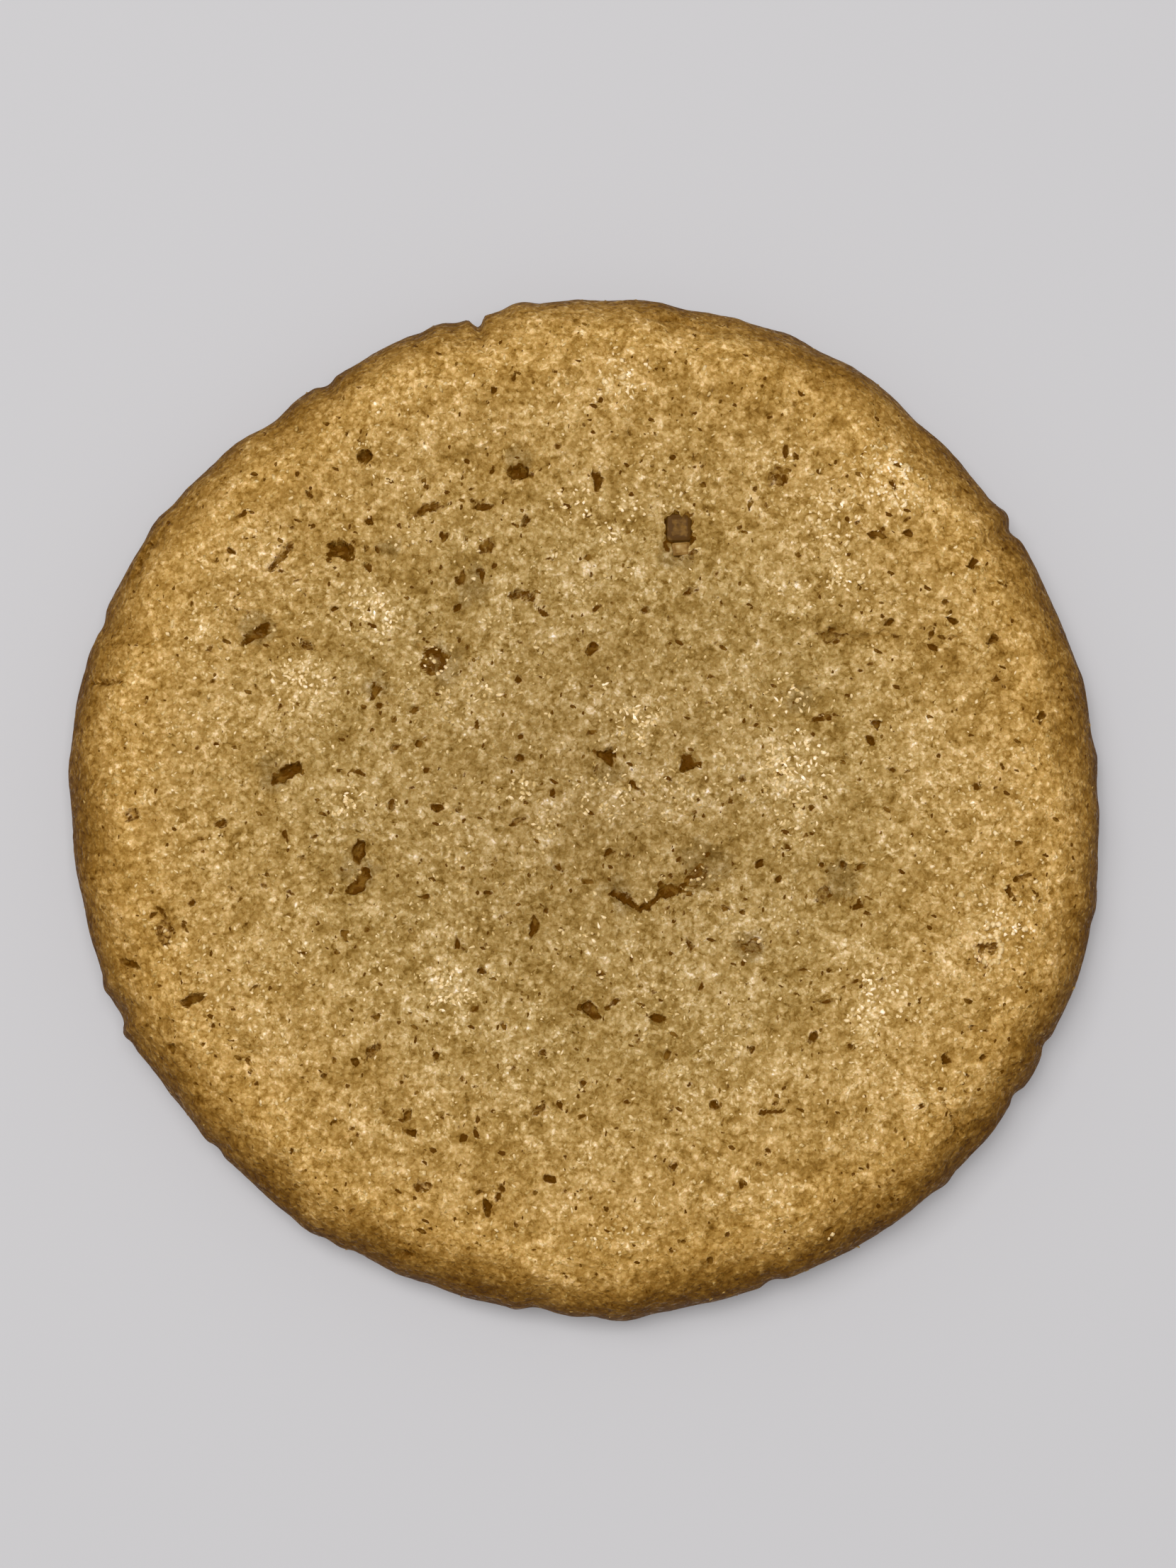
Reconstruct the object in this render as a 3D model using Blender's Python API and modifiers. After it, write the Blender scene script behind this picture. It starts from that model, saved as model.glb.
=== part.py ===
"""A round sugar cookie: one baked piece with a low, softly uneven top full of small pits,
a rounded rim, a short crack, a few sugar lumps sunk in the crumb, and a flat base.

Metres, +Z up. The origin is the middle of the flat base."""

import bisect
import math
import random

import bmesh
import bpy
from mathutils import Matrix, Vector, noise

MM = 0.001

# Body, before its outline is made uneven
RADIUS = 35.0 * MM
THICKNESS = 9.4 * MM  # at the raised ring that runs inside the rim
CENTRE_DIP = 0.5 * MM  # the middle lies this far below that ring
RING_SHARE = 0.74  # the ring's radius as a share of RADIUS
SHOULDER_RUN = 7.4 * MM  # the top rounds over this far in from the edge
SHOULDER_POWER = 2.25  # 2 is a quarter of an ellipse, more is fuller
BELLY_HEIGHT = 3.0 * MM  # height of the widest line of the side
BASE_INSET = 1.4 * MM  # the flat base ends this far inside the widest line

# How finely the body is faceted
SKIN_CUTS = 21  # a cube's edge is cut this many times before the cube is blown up into the body
BASE_FACET_SHARE = 0.3  # the flat base gets this share of the facets that its area would earn
SECTION_POINTS = 60  # along each stretch of the section

# Outline: lobes round the edge, their height as a share of the radius, bearing of one lobe
OUTLINE_LOBES = (
    (2, 0.0101, -16.0),
    (3, 0.0091, -57.0),
    (4, 0.0057, -17.0),
    (5, 0.0021, 10.0),
    (6, 0.0021, -26.0),
)

# Relief of the crust: swells across the top, and lumps all round the skin
SWELL_HEIGHT = 0.40 * MM
SWELL_SIZE = 9.0 * MM
LUMP_HEIGHT = 0.22 * MM
LUMP_SIZE = 3.4 * MM

# Broad dents in the top, in millimetres from the outline's centre: x, y, reach, depth
BROAD_DENTS = (
    (-16.2, 21.0, 3.6, 0.40),
    (-11.6, 21.8, 3.2, 0.45),
    (-6.3, 23.2, 3.2, 0.40),
    (-20.8, 16.8, 2.6, 0.30),
    (-22.6, 12.0, 2.6, 0.30),
    (-10.6, 9.8, 2.4, 0.30),
    (-16.0, -4.2, 3.6, 0.45),
    (-20.6, 2.6, 2.6, 0.30),
    (0.2, -13.6, 2.8, 0.40),
    (4.2, -6.0, 3.4, 0.40),
    (6.3, 19.2, 2.8, 0.35),
    (6.8, 3.4, 2.6, 0.35),
    (19.4, 11.4, 3.8, 0.45),
    (15.6, -5.4, 3.0, 0.30),
    (13.4, 24.0, 2.4, 0.30),
    (-6.8, -26.8, 2.2, 0.30),
)

# Large pits, in millimetres from the outline's centre: x, y, length, width, bearing of the length
LARGE_PITS = (
    (-17.1, 17.9, 2.2, 1.3, -25),
    (-5.0, 23.4, 1.6, 1.1, 15),
    (-7.2, 20.9, 1.7, 0.6, 0),
    (-15.6, 24.3, 1.3, 1.0, 40),
    (-11.6, 20.8, 2.0, 0.7, 40),
    (-4.6, 14.6, 1.5, 1.2, 20),
    (-21.2, 17.4, 2.3, 0.8, 52),
    (-23.0, 12.2, 2.4, 0.9, 22),
    (-14.8, 8.1, 1.5, 0.7, 85),
    (-20.8, 2.5, 2.3, 1.0, 25),
    (-15.9, -3.0, 1.6, 1.0, 95),
    (-16.0, -5.4, 1.6, 1.1, 10),
    (-27.4, -13.2, 2.4, 0.8, 25),
    (-14.9, -16.7, 1.3, 0.9, 75),
    (-6.9, -27.0, 1.7, 1.1, 80),
    (0.0, -13.7, 1.5, 1.3, 0),
    (4.8, -14.3, 1.6, 0.9, -15),
    (1.2, 3.6, 1.7, 1.1, -10),
    (6.8, 3.3, 1.9, 1.5, -40),
    (13.4, 23.0, 1.5, 1.4, 5),
    (16.8, 11.8, 1.7, 1.4, 0),
    (18.7, -4.0, 1.4, 0.9, 20),
    (29.0, -5.9, 1.5, 0.8, -65),
    (11.2, -9.5, 1.7, 1.3, 0),
    (16.1, -6.0, 1.6, 1.2, 30),
    (12.5, -20.8, 1.9, 0.5, 0),
)
PIT_DEPTH_SHARE = 0.95  # of a pit's width
PIT_MOST_DEPTH = 1.1 * MM
PIT_ROUGHNESS = 0.28  # how far a pit's wall wanders, as a share of its half width
FINE_PIT_LENGTH = 1.25 * MM  # a pit at least this long is cut by a finer ball

# Small pits, scattered evenly by a seeded draw
SMALL_PIT_COUNT = 58
SMALL_PIT_LENGTHS = (0.5 * MM, 1.1 * MM)
SMALL_PIT_WIDTH_SHARES = (0.6, 1.0)
SMALL_PIT_REACH = 0.90  # they lie within this share of the radius
SMALL_PIT_SPACING = 4.0 * MM
SPACING_RELAX = 0.998  # each refused draw lets the next lie this much nearer
SEED = 7

# Grooves, in millimetres: the crack in the top, hairline cracks and folds at the rim.
# Each is the points that it runs through, and half its width.
GROOVES = {
    "crack": (((1.2, -5.6), (2.6, -6.2), (3.9, -6.7), (5.1, -5.7), (6.6, -5.8), (7.6, -4.6)), 0.62),
    "hairline_right": (((18.0, 11.9), (19.6, 12.0), (20.9, 12.3)), 0.22),
    "hairline_low": (((24.1, -19.7), (24.9, -21.2), (25.6, -23.0)), 0.26),
    "rim_fold_left": (((-29.4, 19.4), (-30.7, 17.6), (-31.6, 15.8)), 0.42),
    "rim_cut_left": (((-34.4, 8.6), (-33.4, 8.7), (-32.3, 8.8)), 0.40),
    "rim_fold_top": (((3.4, 34.2), (6.0, 34.0), (8.6, 33.1)), 0.34),
}
GROOVE_TIP_SHARE = 0.25  # a groove's width at its ends, as a share of its width in the middle
GROOVE_FULLNESS = 0.6  # under 1, a groove stays wide until near its ends
GROOVE_UNEVENNESS = 0.2
GROOVE_SINK = 0.35  # its axis lies this share of its half width under the crust

# Clefts that open in the edge, deepest at the top and gone above the foot
CLEFTS = (  # bearing, mouth width, how far they reach in
    (103.0, 1.1 * MM, 0.85 * MM),
    (121.6, 0.9 * MM, 0.50 * MM),
    (33.0, 1.5 * MM, 0.35 * MM),
)
CLEFT_FOOT = 1.6 * MM
CLEFT_FOOT_SHARE = 0.2  # a cleft's size at its foot, as a share of its size at the top
CLEFT_SIDES = 6

# Sugar lumps sunk in pits, in millimetres: x, y, size, turn
LUMPS = (
    (6.2, 19.3, 1.75, 0),
    (-10.7, 10.2, 1.60, 25),
    (-8.3, 15.5, 1.50, 40),
    (27.5, -9.6, 1.45, 15),
    (-29.3, -8.0, 1.50, 80),
)
LUMP_PIT_SHARE = 1.42  # a lump's pit is this much wider than the lump
LUMP_SINK = 0.10 * MM  # the lump's top lies this far below the crust
LUMP_CORNER_SHARE = 0.16  # of its size, cut off each edge

CRUST_COLOUR = (0.43, 0.26, 0.085, 1.0)
CRUST_ROUGHNESS = 0.62
CREASE_DEGREES = 40  # facets that meet more sharply than this are shaded apart


def clear_scene():
    for obj in list(bpy.data.objects):
        bpy.data.objects.remove(obj, do_unlink=True)


def new_collection(name):
    collection = bpy.data.collections.new(name)
    bpy.context.scene.collection.children.link(collection)
    return collection


def select_only(obj):
    bpy.ops.object.select_all(action="DESELECT")
    obj.select_set(True)
    bpy.context.view_layer.objects.active = obj


def move_to(obj, collection):
    for old in list(obj.users_collection):
        old.objects.unlink(obj)
    collection.objects.link(obj)


def add_cutter(obj):
    """Keeps an object as a helper that cuts and is never drawn."""
    obj.hide_render = True
    obj.display_type = "WIRE"
    move_to(obj, cutters)


def apply_modifier(obj, modifier):
    select_only(obj)
    bpy.ops.object.modifier_apply(modifier=modifier.name)


def crust_material():
    material = bpy.data.materials.new("baked_crust")
    material.use_nodes = True
    shader = material.node_tree.nodes["Principled BSDF"]
    shader.inputs["Base Color"].default_value = CRUST_COLOUR
    shader.inputs["Roughness"].default_value = CRUST_ROUGHNESS
    shader.inputs["Metallic"].default_value = 0.0
    return material


def smooth_step(low, high, value):
    share = min(1.0, max(0.0, (value - low) / (high - low)))
    return share * share * (3 - 2 * share)


def top_height(radius):
    """The crust's height at a radius inside the shoulder: a shallow dish up to the ring, then level."""
    share = min(1.0, radius / (RING_SHARE * RADIUS))
    return THICKNESS - CENTRE_DIP * (1 - share * share)


def section():
    """Half the cookie's upright section as (radius, height) points: from the middle of the top out
    over the shoulder, down the side, round the foot and in along the base."""
    shoulder_start = RADIUS - SHOULDER_RUN
    base_radius = RADIUS - BASE_INSET
    shares = [i / SECTION_POINTS for i in range(SECTION_POINTS)]
    points = [(shoulder_start * share, top_height(shoulder_start * share)) for share in shares]
    power = 2 / SHOULDER_POWER
    fall = top_height(shoulder_start) - BELLY_HEIGHT
    for share in shares:
        out = math.sin(math.pi / 2 * share) ** power
        up = math.cos(math.pi / 2 * share) ** power
        points.append((shoulder_start + SHOULDER_RUN * out, BELLY_HEIGHT + fall * up))
    for share in shares:
        inset = BASE_INSET * (1 - math.cos(math.pi / 2 * share))
        points.append((RADIUS - inset, BELLY_HEIGHT * (1 - math.sin(math.pi / 2 * share))))
    points += [(base_radius * (1 - share), 0.0) for share in shares]
    return points + [(0.0, 0.0)]


def plain_body():
    """A cube cut into small squares, rounded to a ball, then let down onto the section so that the
    squares stay nearly even in size all over the crust."""
    points = section()
    reached = [0.0]
    for (inner, above), (outer, below) in zip(points, points[1:]):
        area = (inner + outer) * math.hypot(outer - inner, below - above)
        on_base = above == 0 and below == 0
        reached.append(reached[-1] + area * (BASE_FACET_SHARE if on_base else 1))
    bpy.ops.mesh.primitive_cube_add(size=2)
    body = bpy.context.active_object
    body.name = body.data.name = "cookie"
    bpy.ops.object.mode_set(mode="EDIT")
    bpy.ops.mesh.subdivide(number_cuts=SKIN_CUTS)
    bpy.ops.object.mode_set(mode="OBJECT")
    for vert in body.data.vertices:
        # Spaces the squares evenly by angle before the cube is rounded
        even = Vector([math.tan(math.pi / 4 * value) for value in vert.co]).normalized()
        wanted = (1 - even.z) / 2 * reached[-1]
        i = min(max(bisect.bisect_left(reached, wanted), 1), len(points) - 1)
        share = (wanted - reached[i - 1]) / (reached[i] - reached[i - 1])
        radius = points[i - 1][0] + (points[i][0] - points[i - 1][0]) * share
        height = points[i - 1][1] + (points[i][1] - points[i - 1][1]) * share
        bearing = math.atan2(even.y, even.x)
        vert.co = (radius * math.cos(bearing), radius * math.sin(bearing), height)
    move_to(body, parts)
    return body


def outline_share(bearing):
    """The edge's radius at a bearing in radians, as a share of RADIUS."""
    share = 1.0
    for lobes, height, lobe_bearing in OUTLINE_LOBES:
        share += height * math.cos(lobes * (bearing - math.radians(lobe_bearing)))
    return share


def dent_depth(x, y):
    """How far the broad dents lower the top at a point."""
    depth = 0.0
    for dent_x, dent_y, reach, deepest in BROAD_DENTS:
        away = math.hypot(x - dent_x * MM, y - dent_y * MM) / (reach * MM)
        if away < 1:
            depth += deepest * MM * (1 - away * away) ** 2
    return depth


def shape_body(body):
    """Makes the plain body uneven: its outline, the swells and dents of the top, and the lumps of
    the skin. The base stays flat."""
    shape = bmesh.new()
    shape.from_mesh(body.data)
    shape.normal_update()
    moves = []
    for vert in shape.verts:
        x, y, z = vert.co
        share = outline_share(math.atan2(y, x))
        moved = Vector((x * share, y * share, z))
        on_top = smooth_step(BELLY_HEIGHT, THICKNESS, z)
        above_foot = smooth_step(0, BELLY_HEIGHT, z)
        swell = SWELL_HEIGHT * noise.fractal(moved / SWELL_SIZE, 1.0, 2.0, 2)
        lump = LUMP_HEIGHT * noise.noise(moved / LUMP_SIZE)
        moved.z += (swell - dent_depth(moved.x, moved.y)) * on_top
        moved += vert.normal * lump * above_foot
        moves.append((vert, moved))
    for vert, moved in moves:
        vert.co = moved
    shape.to_mesh(body.data)
    shape.free()


def crust_point(body, x, y):
    """The point of the crust above (x, y), and the crust's normal there."""
    hit, point, normal, _ = body.ray_cast(Vector((x, y, 2 * THICKNESS)), Vector((0, 0, -1)))
    if not hit:
        raise ValueError(f"nothing of the cookie lies at {x / MM:.1f}, {y / MM:.1f} mm")
    return point, normal


def lie_on_crust(obj, point, normal, turn):
    """Places an object at a point with its Z along the normal, turned about it."""
    upright = normal.to_track_quat("Z", "Y").to_matrix().to_4x4()
    obj.matrix_world = Matrix.Translation(point) @ upright @ Matrix.Rotation(turn, 4, "Z")


def pit_cutter(body, x, y, length, width, turn):
    """A rough, stretched ball that bites one pit out of the crust."""
    point, normal = crust_point(body, x, y)
    finer = 2 if length >= FINE_PIT_LENGTH else 1
    bpy.ops.mesh.primitive_ico_sphere_add(subdivisions=finer, radius=1)
    cutter = bpy.context.active_object
    depth = min(PIT_DEPTH_SHARE * width, PIT_MOST_DEPTH)
    for vert in cutter.data.vertices:
        wander = 1 + PIT_ROUGHNESS * dice.uniform(-1, 1)
        stretched = (vert.co.x * length / 2, vert.co.y * width / 2, vert.co.z * depth)
        vert.co = Vector(stretched) * wander
    lie_on_crust(cutter, point, normal, turn)
    add_cutter(cutter)
    return cutter


def groove_cutter(body, points, half_width):
    """A tube with pointed ends, laid along the crust, that cuts a crack or a fold."""
    curve = bpy.data.curves.new("groove", "CURVE")
    curve.dimensions = "3D"
    curve.bevel_depth = half_width
    curve.bevel_resolution = 1
    curve.use_fill_caps = True
    spline = curve.splines.new("POLY")
    spline.points.add(len(points) - 1)
    for i, (x, y) in enumerate(points):
        point, normal = crust_point(body, x * MM, y * MM)
        middling = math.sin(math.pi * i / (len(points) - 1)) ** GROOVE_FULLNESS
        taper = GROOVE_TIP_SHARE + (1 - GROOVE_TIP_SHARE) * middling
        spline.points[i].co = (*(point - normal * half_width * GROOVE_SINK), 1)
        spline.points[i].radius = taper * (1 + GROOVE_UNEVENNESS * dice.uniform(-1, 1))
    guide = bpy.data.objects.new("groove", curve)
    cutters.objects.link(guide)
    bpy.context.view_layer.update()
    evaluated = guide.evaluated_get(bpy.context.evaluated_depsgraph_get())
    mesh = bpy.data.meshes.new_from_object(evaluated)
    tube = bmesh.new()
    tube.from_mesh(mesh)
    bmesh.ops.remove_doubles(tube, verts=tube.verts, dist=0.001 * MM)
    bmesh.ops.recalc_face_normals(tube, faces=tube.faces)
    tube.to_mesh(mesh)
    tube.free()
    cutter = bpy.data.objects.new("groove_cutter", mesh)
    cutter.matrix_world = guide.matrix_world
    add_cutter(cutter)
    bpy.data.objects.remove(guide, do_unlink=True)


def cleft_cutter(bearing, mouth, reach):
    """A standing wedge with its point down, that opens a cleft in the side above the foot."""
    tall = 2 * (THICKNESS - CLEFT_FOOT)
    bpy.ops.mesh.primitive_cone_add(
        vertices=CLEFT_SIDES, radius1=CLEFT_FOOT_SHARE, radius2=1, depth=tall
    )
    cutter = bpy.context.active_object
    cutter.data.transform(Matrix.Diagonal((reach, mouth / 2, 1, 1)))
    edge = RADIUS * outline_share(bearing)
    standing = Matrix.Translation((edge, 0, CLEFT_FOOT + tall / 2))
    cutter.matrix_world = Matrix.Rotation(bearing, 4, "Z") @ standing
    add_cutter(cutter)


def sugar_lump(body, x, y, size, turn):
    """A cut-cornered sugar crystal, left standing on the floor of its pit: the pit's cutter is
    hollowed by the crystal's shape."""
    pit_size = size * LUMP_PIT_SHARE
    pit = pit_cutter(body, x, y, pit_size, pit_size, turn)
    point, normal = crust_point(body, x, y)
    bpy.ops.mesh.primitive_cube_add(size=size)
    lump = bpy.context.active_object
    corners = lump.modifiers.new("cut_corners", "BEVEL")
    corners.width = size * LUMP_CORNER_SHARE
    corners.segments = 1
    apply_modifier(lump, corners)
    lie_on_crust(lump, point - normal * (size / 2 + LUMP_SINK), normal, turn)
    hollow = pit.modifiers.new("hollow", "BOOLEAN")
    hollow.operation = "DIFFERENCE"
    hollow.object = lump
    apply_modifier(pit, hollow)
    bpy.data.objects.remove(lump, do_unlink=True)


def small_pit_places():
    """Evenly scattered places, by drawing at random and refusing any that falls too near another."""
    taken = [Vector((x * MM, y * MM)) for x, y, *_ in LARGE_PITS + LUMPS]
    places = []
    spacing = SMALL_PIT_SPACING
    while len(places) < SMALL_PIT_COUNT:
        bearing = dice.uniform(0, math.tau)
        radius = RADIUS * SMALL_PIT_REACH * math.sqrt(dice.random())
        place = Vector((radius * math.cos(bearing), radius * math.sin(bearing)))
        if all((place - other).length > spacing for other in taken):
            taken.append(place)
            places.append(place)
        else:
            spacing *= SPACING_RELAX
    return places


def small_pit_cutter(body, place):
    length = dice.uniform(*SMALL_PIT_LENGTHS)
    width = length * dice.uniform(*SMALL_PIT_WIDTH_SHARES)
    pit_cutter(body, place.x, place.y, length, width, dice.uniform(0, math.tau))


def cut_all(body):
    """Cuts every cutter from the body, and removes the cutters."""
    bites = body.modifiers.new("bites", "BOOLEAN")
    bites.operation = "DIFFERENCE"
    bites.operand_type = "COLLECTION"
    bites.collection = cutters
    apply_modifier(body, bites)
    for obj in list(cutters.objects):
        bpy.data.objects.remove(obj, do_unlink=True)
    bpy.data.collections.remove(cutters)


def centre_on_base(body):
    """Moves the body so that the middle of its outline's box stands over the origin, base at zero."""
    points = [vert.co for vert in body.data.vertices]
    low = Vector([min(point[axis] for point in points) for axis in range(3)])
    high = Vector([max(point[axis] for point in points) for axis in range(3)])
    middle = (low + high) / 2
    body.data.transform(Matrix.Translation((-middle.x, -middle.y, -low.z)))


clear_scene()
dice = random.Random(SEED)
parts = new_collection("sugar_cookie")
cutters = new_collection("cutters")

cookie = plain_body()
shape_body(cookie)

for x, y, length, width, turn in LARGE_PITS:
    pit_cutter(cookie, x * MM, y * MM, length * MM, width * MM, math.radians(turn))
for place in small_pit_places():
    small_pit_cutter(cookie, place)
for points, half_width in GROOVES.values():
    groove_cutter(cookie, points, half_width * MM)
for bearing, mouth, reach in CLEFTS:
    cleft_cutter(math.radians(bearing), mouth, reach)
for x, y, size, turn in LUMPS:
    sugar_lump(cookie, x * MM, y * MM, size * MM, math.radians(turn))

cut_all(cookie)
centre_on_base(cookie)
cookie.data.materials.clear()
cookie.data.materials.append(crust_material())
cookie.data.shade_smooth()
cookie.data.set_sharp_from_angle(angle=math.radians(CREASE_DEGREES))
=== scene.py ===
"""The looks of a round sugar cookie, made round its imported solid: the baked crust with its crumb,
pits, crack and browned rim, and the fine, pale and coarse sugar grains that lie in it.

Metres, +Z up. Lengths in the tables are in millimetres, and MM turns them into metres."""

import math

import bpy
import numpy as np
from mathutils import Euler, Matrix, Vector, noise


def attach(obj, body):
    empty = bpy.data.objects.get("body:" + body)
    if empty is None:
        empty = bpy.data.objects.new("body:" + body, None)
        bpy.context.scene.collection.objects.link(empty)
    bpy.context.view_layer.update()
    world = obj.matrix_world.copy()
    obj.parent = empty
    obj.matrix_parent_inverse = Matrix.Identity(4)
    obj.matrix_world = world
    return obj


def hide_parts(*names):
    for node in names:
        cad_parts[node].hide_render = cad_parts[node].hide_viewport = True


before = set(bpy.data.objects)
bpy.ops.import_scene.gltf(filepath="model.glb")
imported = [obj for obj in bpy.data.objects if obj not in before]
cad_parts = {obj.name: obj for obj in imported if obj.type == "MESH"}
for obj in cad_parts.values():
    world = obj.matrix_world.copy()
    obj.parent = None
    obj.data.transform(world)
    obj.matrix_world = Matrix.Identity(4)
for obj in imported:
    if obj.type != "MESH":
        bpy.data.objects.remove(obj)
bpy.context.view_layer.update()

MM = 0.001
SEED = 11

# ---- Form of the cookie, as its solid has it ----
RADIUS = 35.0
THICKNESS = 9.4  # at the raised ring that runs inside the rim
CENTRE_DIP = 0.5  # the middle lies this far below that ring
RING_SHARE = 0.74
SHOULDER_RUN = 7.4  # the top rounds over this far in from the edge
SHOULDER_POWER = 2.25
BELLY_HEIGHT = 3.0  # height of the widest line of the side
BASE_INSET = 1.4  # the flat base ends this far inside the widest line
SECTION_POINTS = 60
OUTLINE_LOBES = (  # lobes round the edge, height as a share of the radius, bearing of one lobe
    (2, 0.0101, -16.0),
    (3, 0.0091, -57.0),
    (4, 0.0057, -17.0),
    (5, 0.0021, 10.0),
    (6, 0.0021, -26.0),
)
SWELL_HEIGHT = 0.40
SWELL_SIZE = 9.0
LUMP_HEIGHT = 0.22
LUMP_SIZE = 3.4
BROAD_DENTS = (  # x, y, reach, depth
    (-16.2, 21.0, 3.6, 0.40),
    (-11.6, 21.8, 3.2, 0.45),
    (-6.3, 23.2, 3.2, 0.40),
    (-20.8, 16.8, 2.6, 0.30),
    (-22.6, 12.0, 2.6, 0.30),
    (-10.6, 9.8, 2.4, 0.30),
    (-16.0, -4.2, 3.6, 0.45),
    (-20.6, 2.6, 2.6, 0.30),
    (0.2, -13.6, 2.8, 0.40),
    (4.2, -6.0, 3.4, 0.40),
    (6.3, 19.2, 2.8, 0.35),
    (6.8, 3.4, 2.6, 0.35),
    (19.4, 11.4, 3.8, 0.45),
    (15.6, -5.4, 3.0, 0.30),
    (13.4, 24.0, 2.4, 0.30),
    (-6.8, -26.8, 2.2, 0.30),
)

# ---- Finer form, which only the looks have ----
EDGE_NICKS = (  # bearing, reach in degrees, how far the edge stands out (minus: in)
    (5.0, 3.0, 0.12),
    (17.0, 8.0, 0.17),
    (35.5, 2.0, 0.22),
    (34.5, 1.6, 0.24),
    (32.6, 1.4, -0.24),
    (53.0, 5.0, 0.20),
    (59.5, 5.0, 0.26),
    (66.0, 5.0, 0.16),
    (75.5, 3.0, -0.14),
    (79.0, 3.0, -0.24),
    (87.0, 5.0, -0.12),
    (96.0, 4.0, 0.17),
    (98.0, 2.6, 0.30),
    (103.0, 1.1, -0.70),
    (107.5, 2.6, 0.34),
    (113.0, 8.0, 0.34),
    (122.0, 1.6, -0.30),
    (129.5, 4.0, -0.30),
    (147.0, 3.0, 0.26),
    (159.5, 1.6, -0.22),
    (161.0, 2.0, -0.12),
    (201.0, 1.7, 0.24),
    (204.0, 7.0, 0.18),
    (204.6, 2.0, -0.15),
    (206.5, 1.4, 0.26),
    (209.0, 8.0, 0.12),
    (223.0, 1.6, -0.22),
    (234.0, 10.0, 0.17),
    (237.0, 3.0, 0.24),
    (240.5, 2.0, 0.18),
    (257.0, 20.0, 0.12),
    (262.0, 4.0, 0.12),
    (263.9, 2.2, -0.30),
    (268.0, 3.0, 0.24),
    (274.0, 4.0, 0.24),
    (274.5, 9.0, 0.28),
    (291.0, 1.8, -0.30),
    (301.0, 18.0, 0.15),
    (313.0, 2.0, 0.20),
    (325.5, 1.4, -0.22),
    (332.0, 1.4, -0.22),
    (338.0, 8.0, 0.15),
    (348.5, 2.5, 0.18),
)
NICK_RIM = (0.80, 0.97)  # nicks fade in between these shares of the way out
NICK_FOOT = 0.5  # and between this height and the widest line

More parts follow.
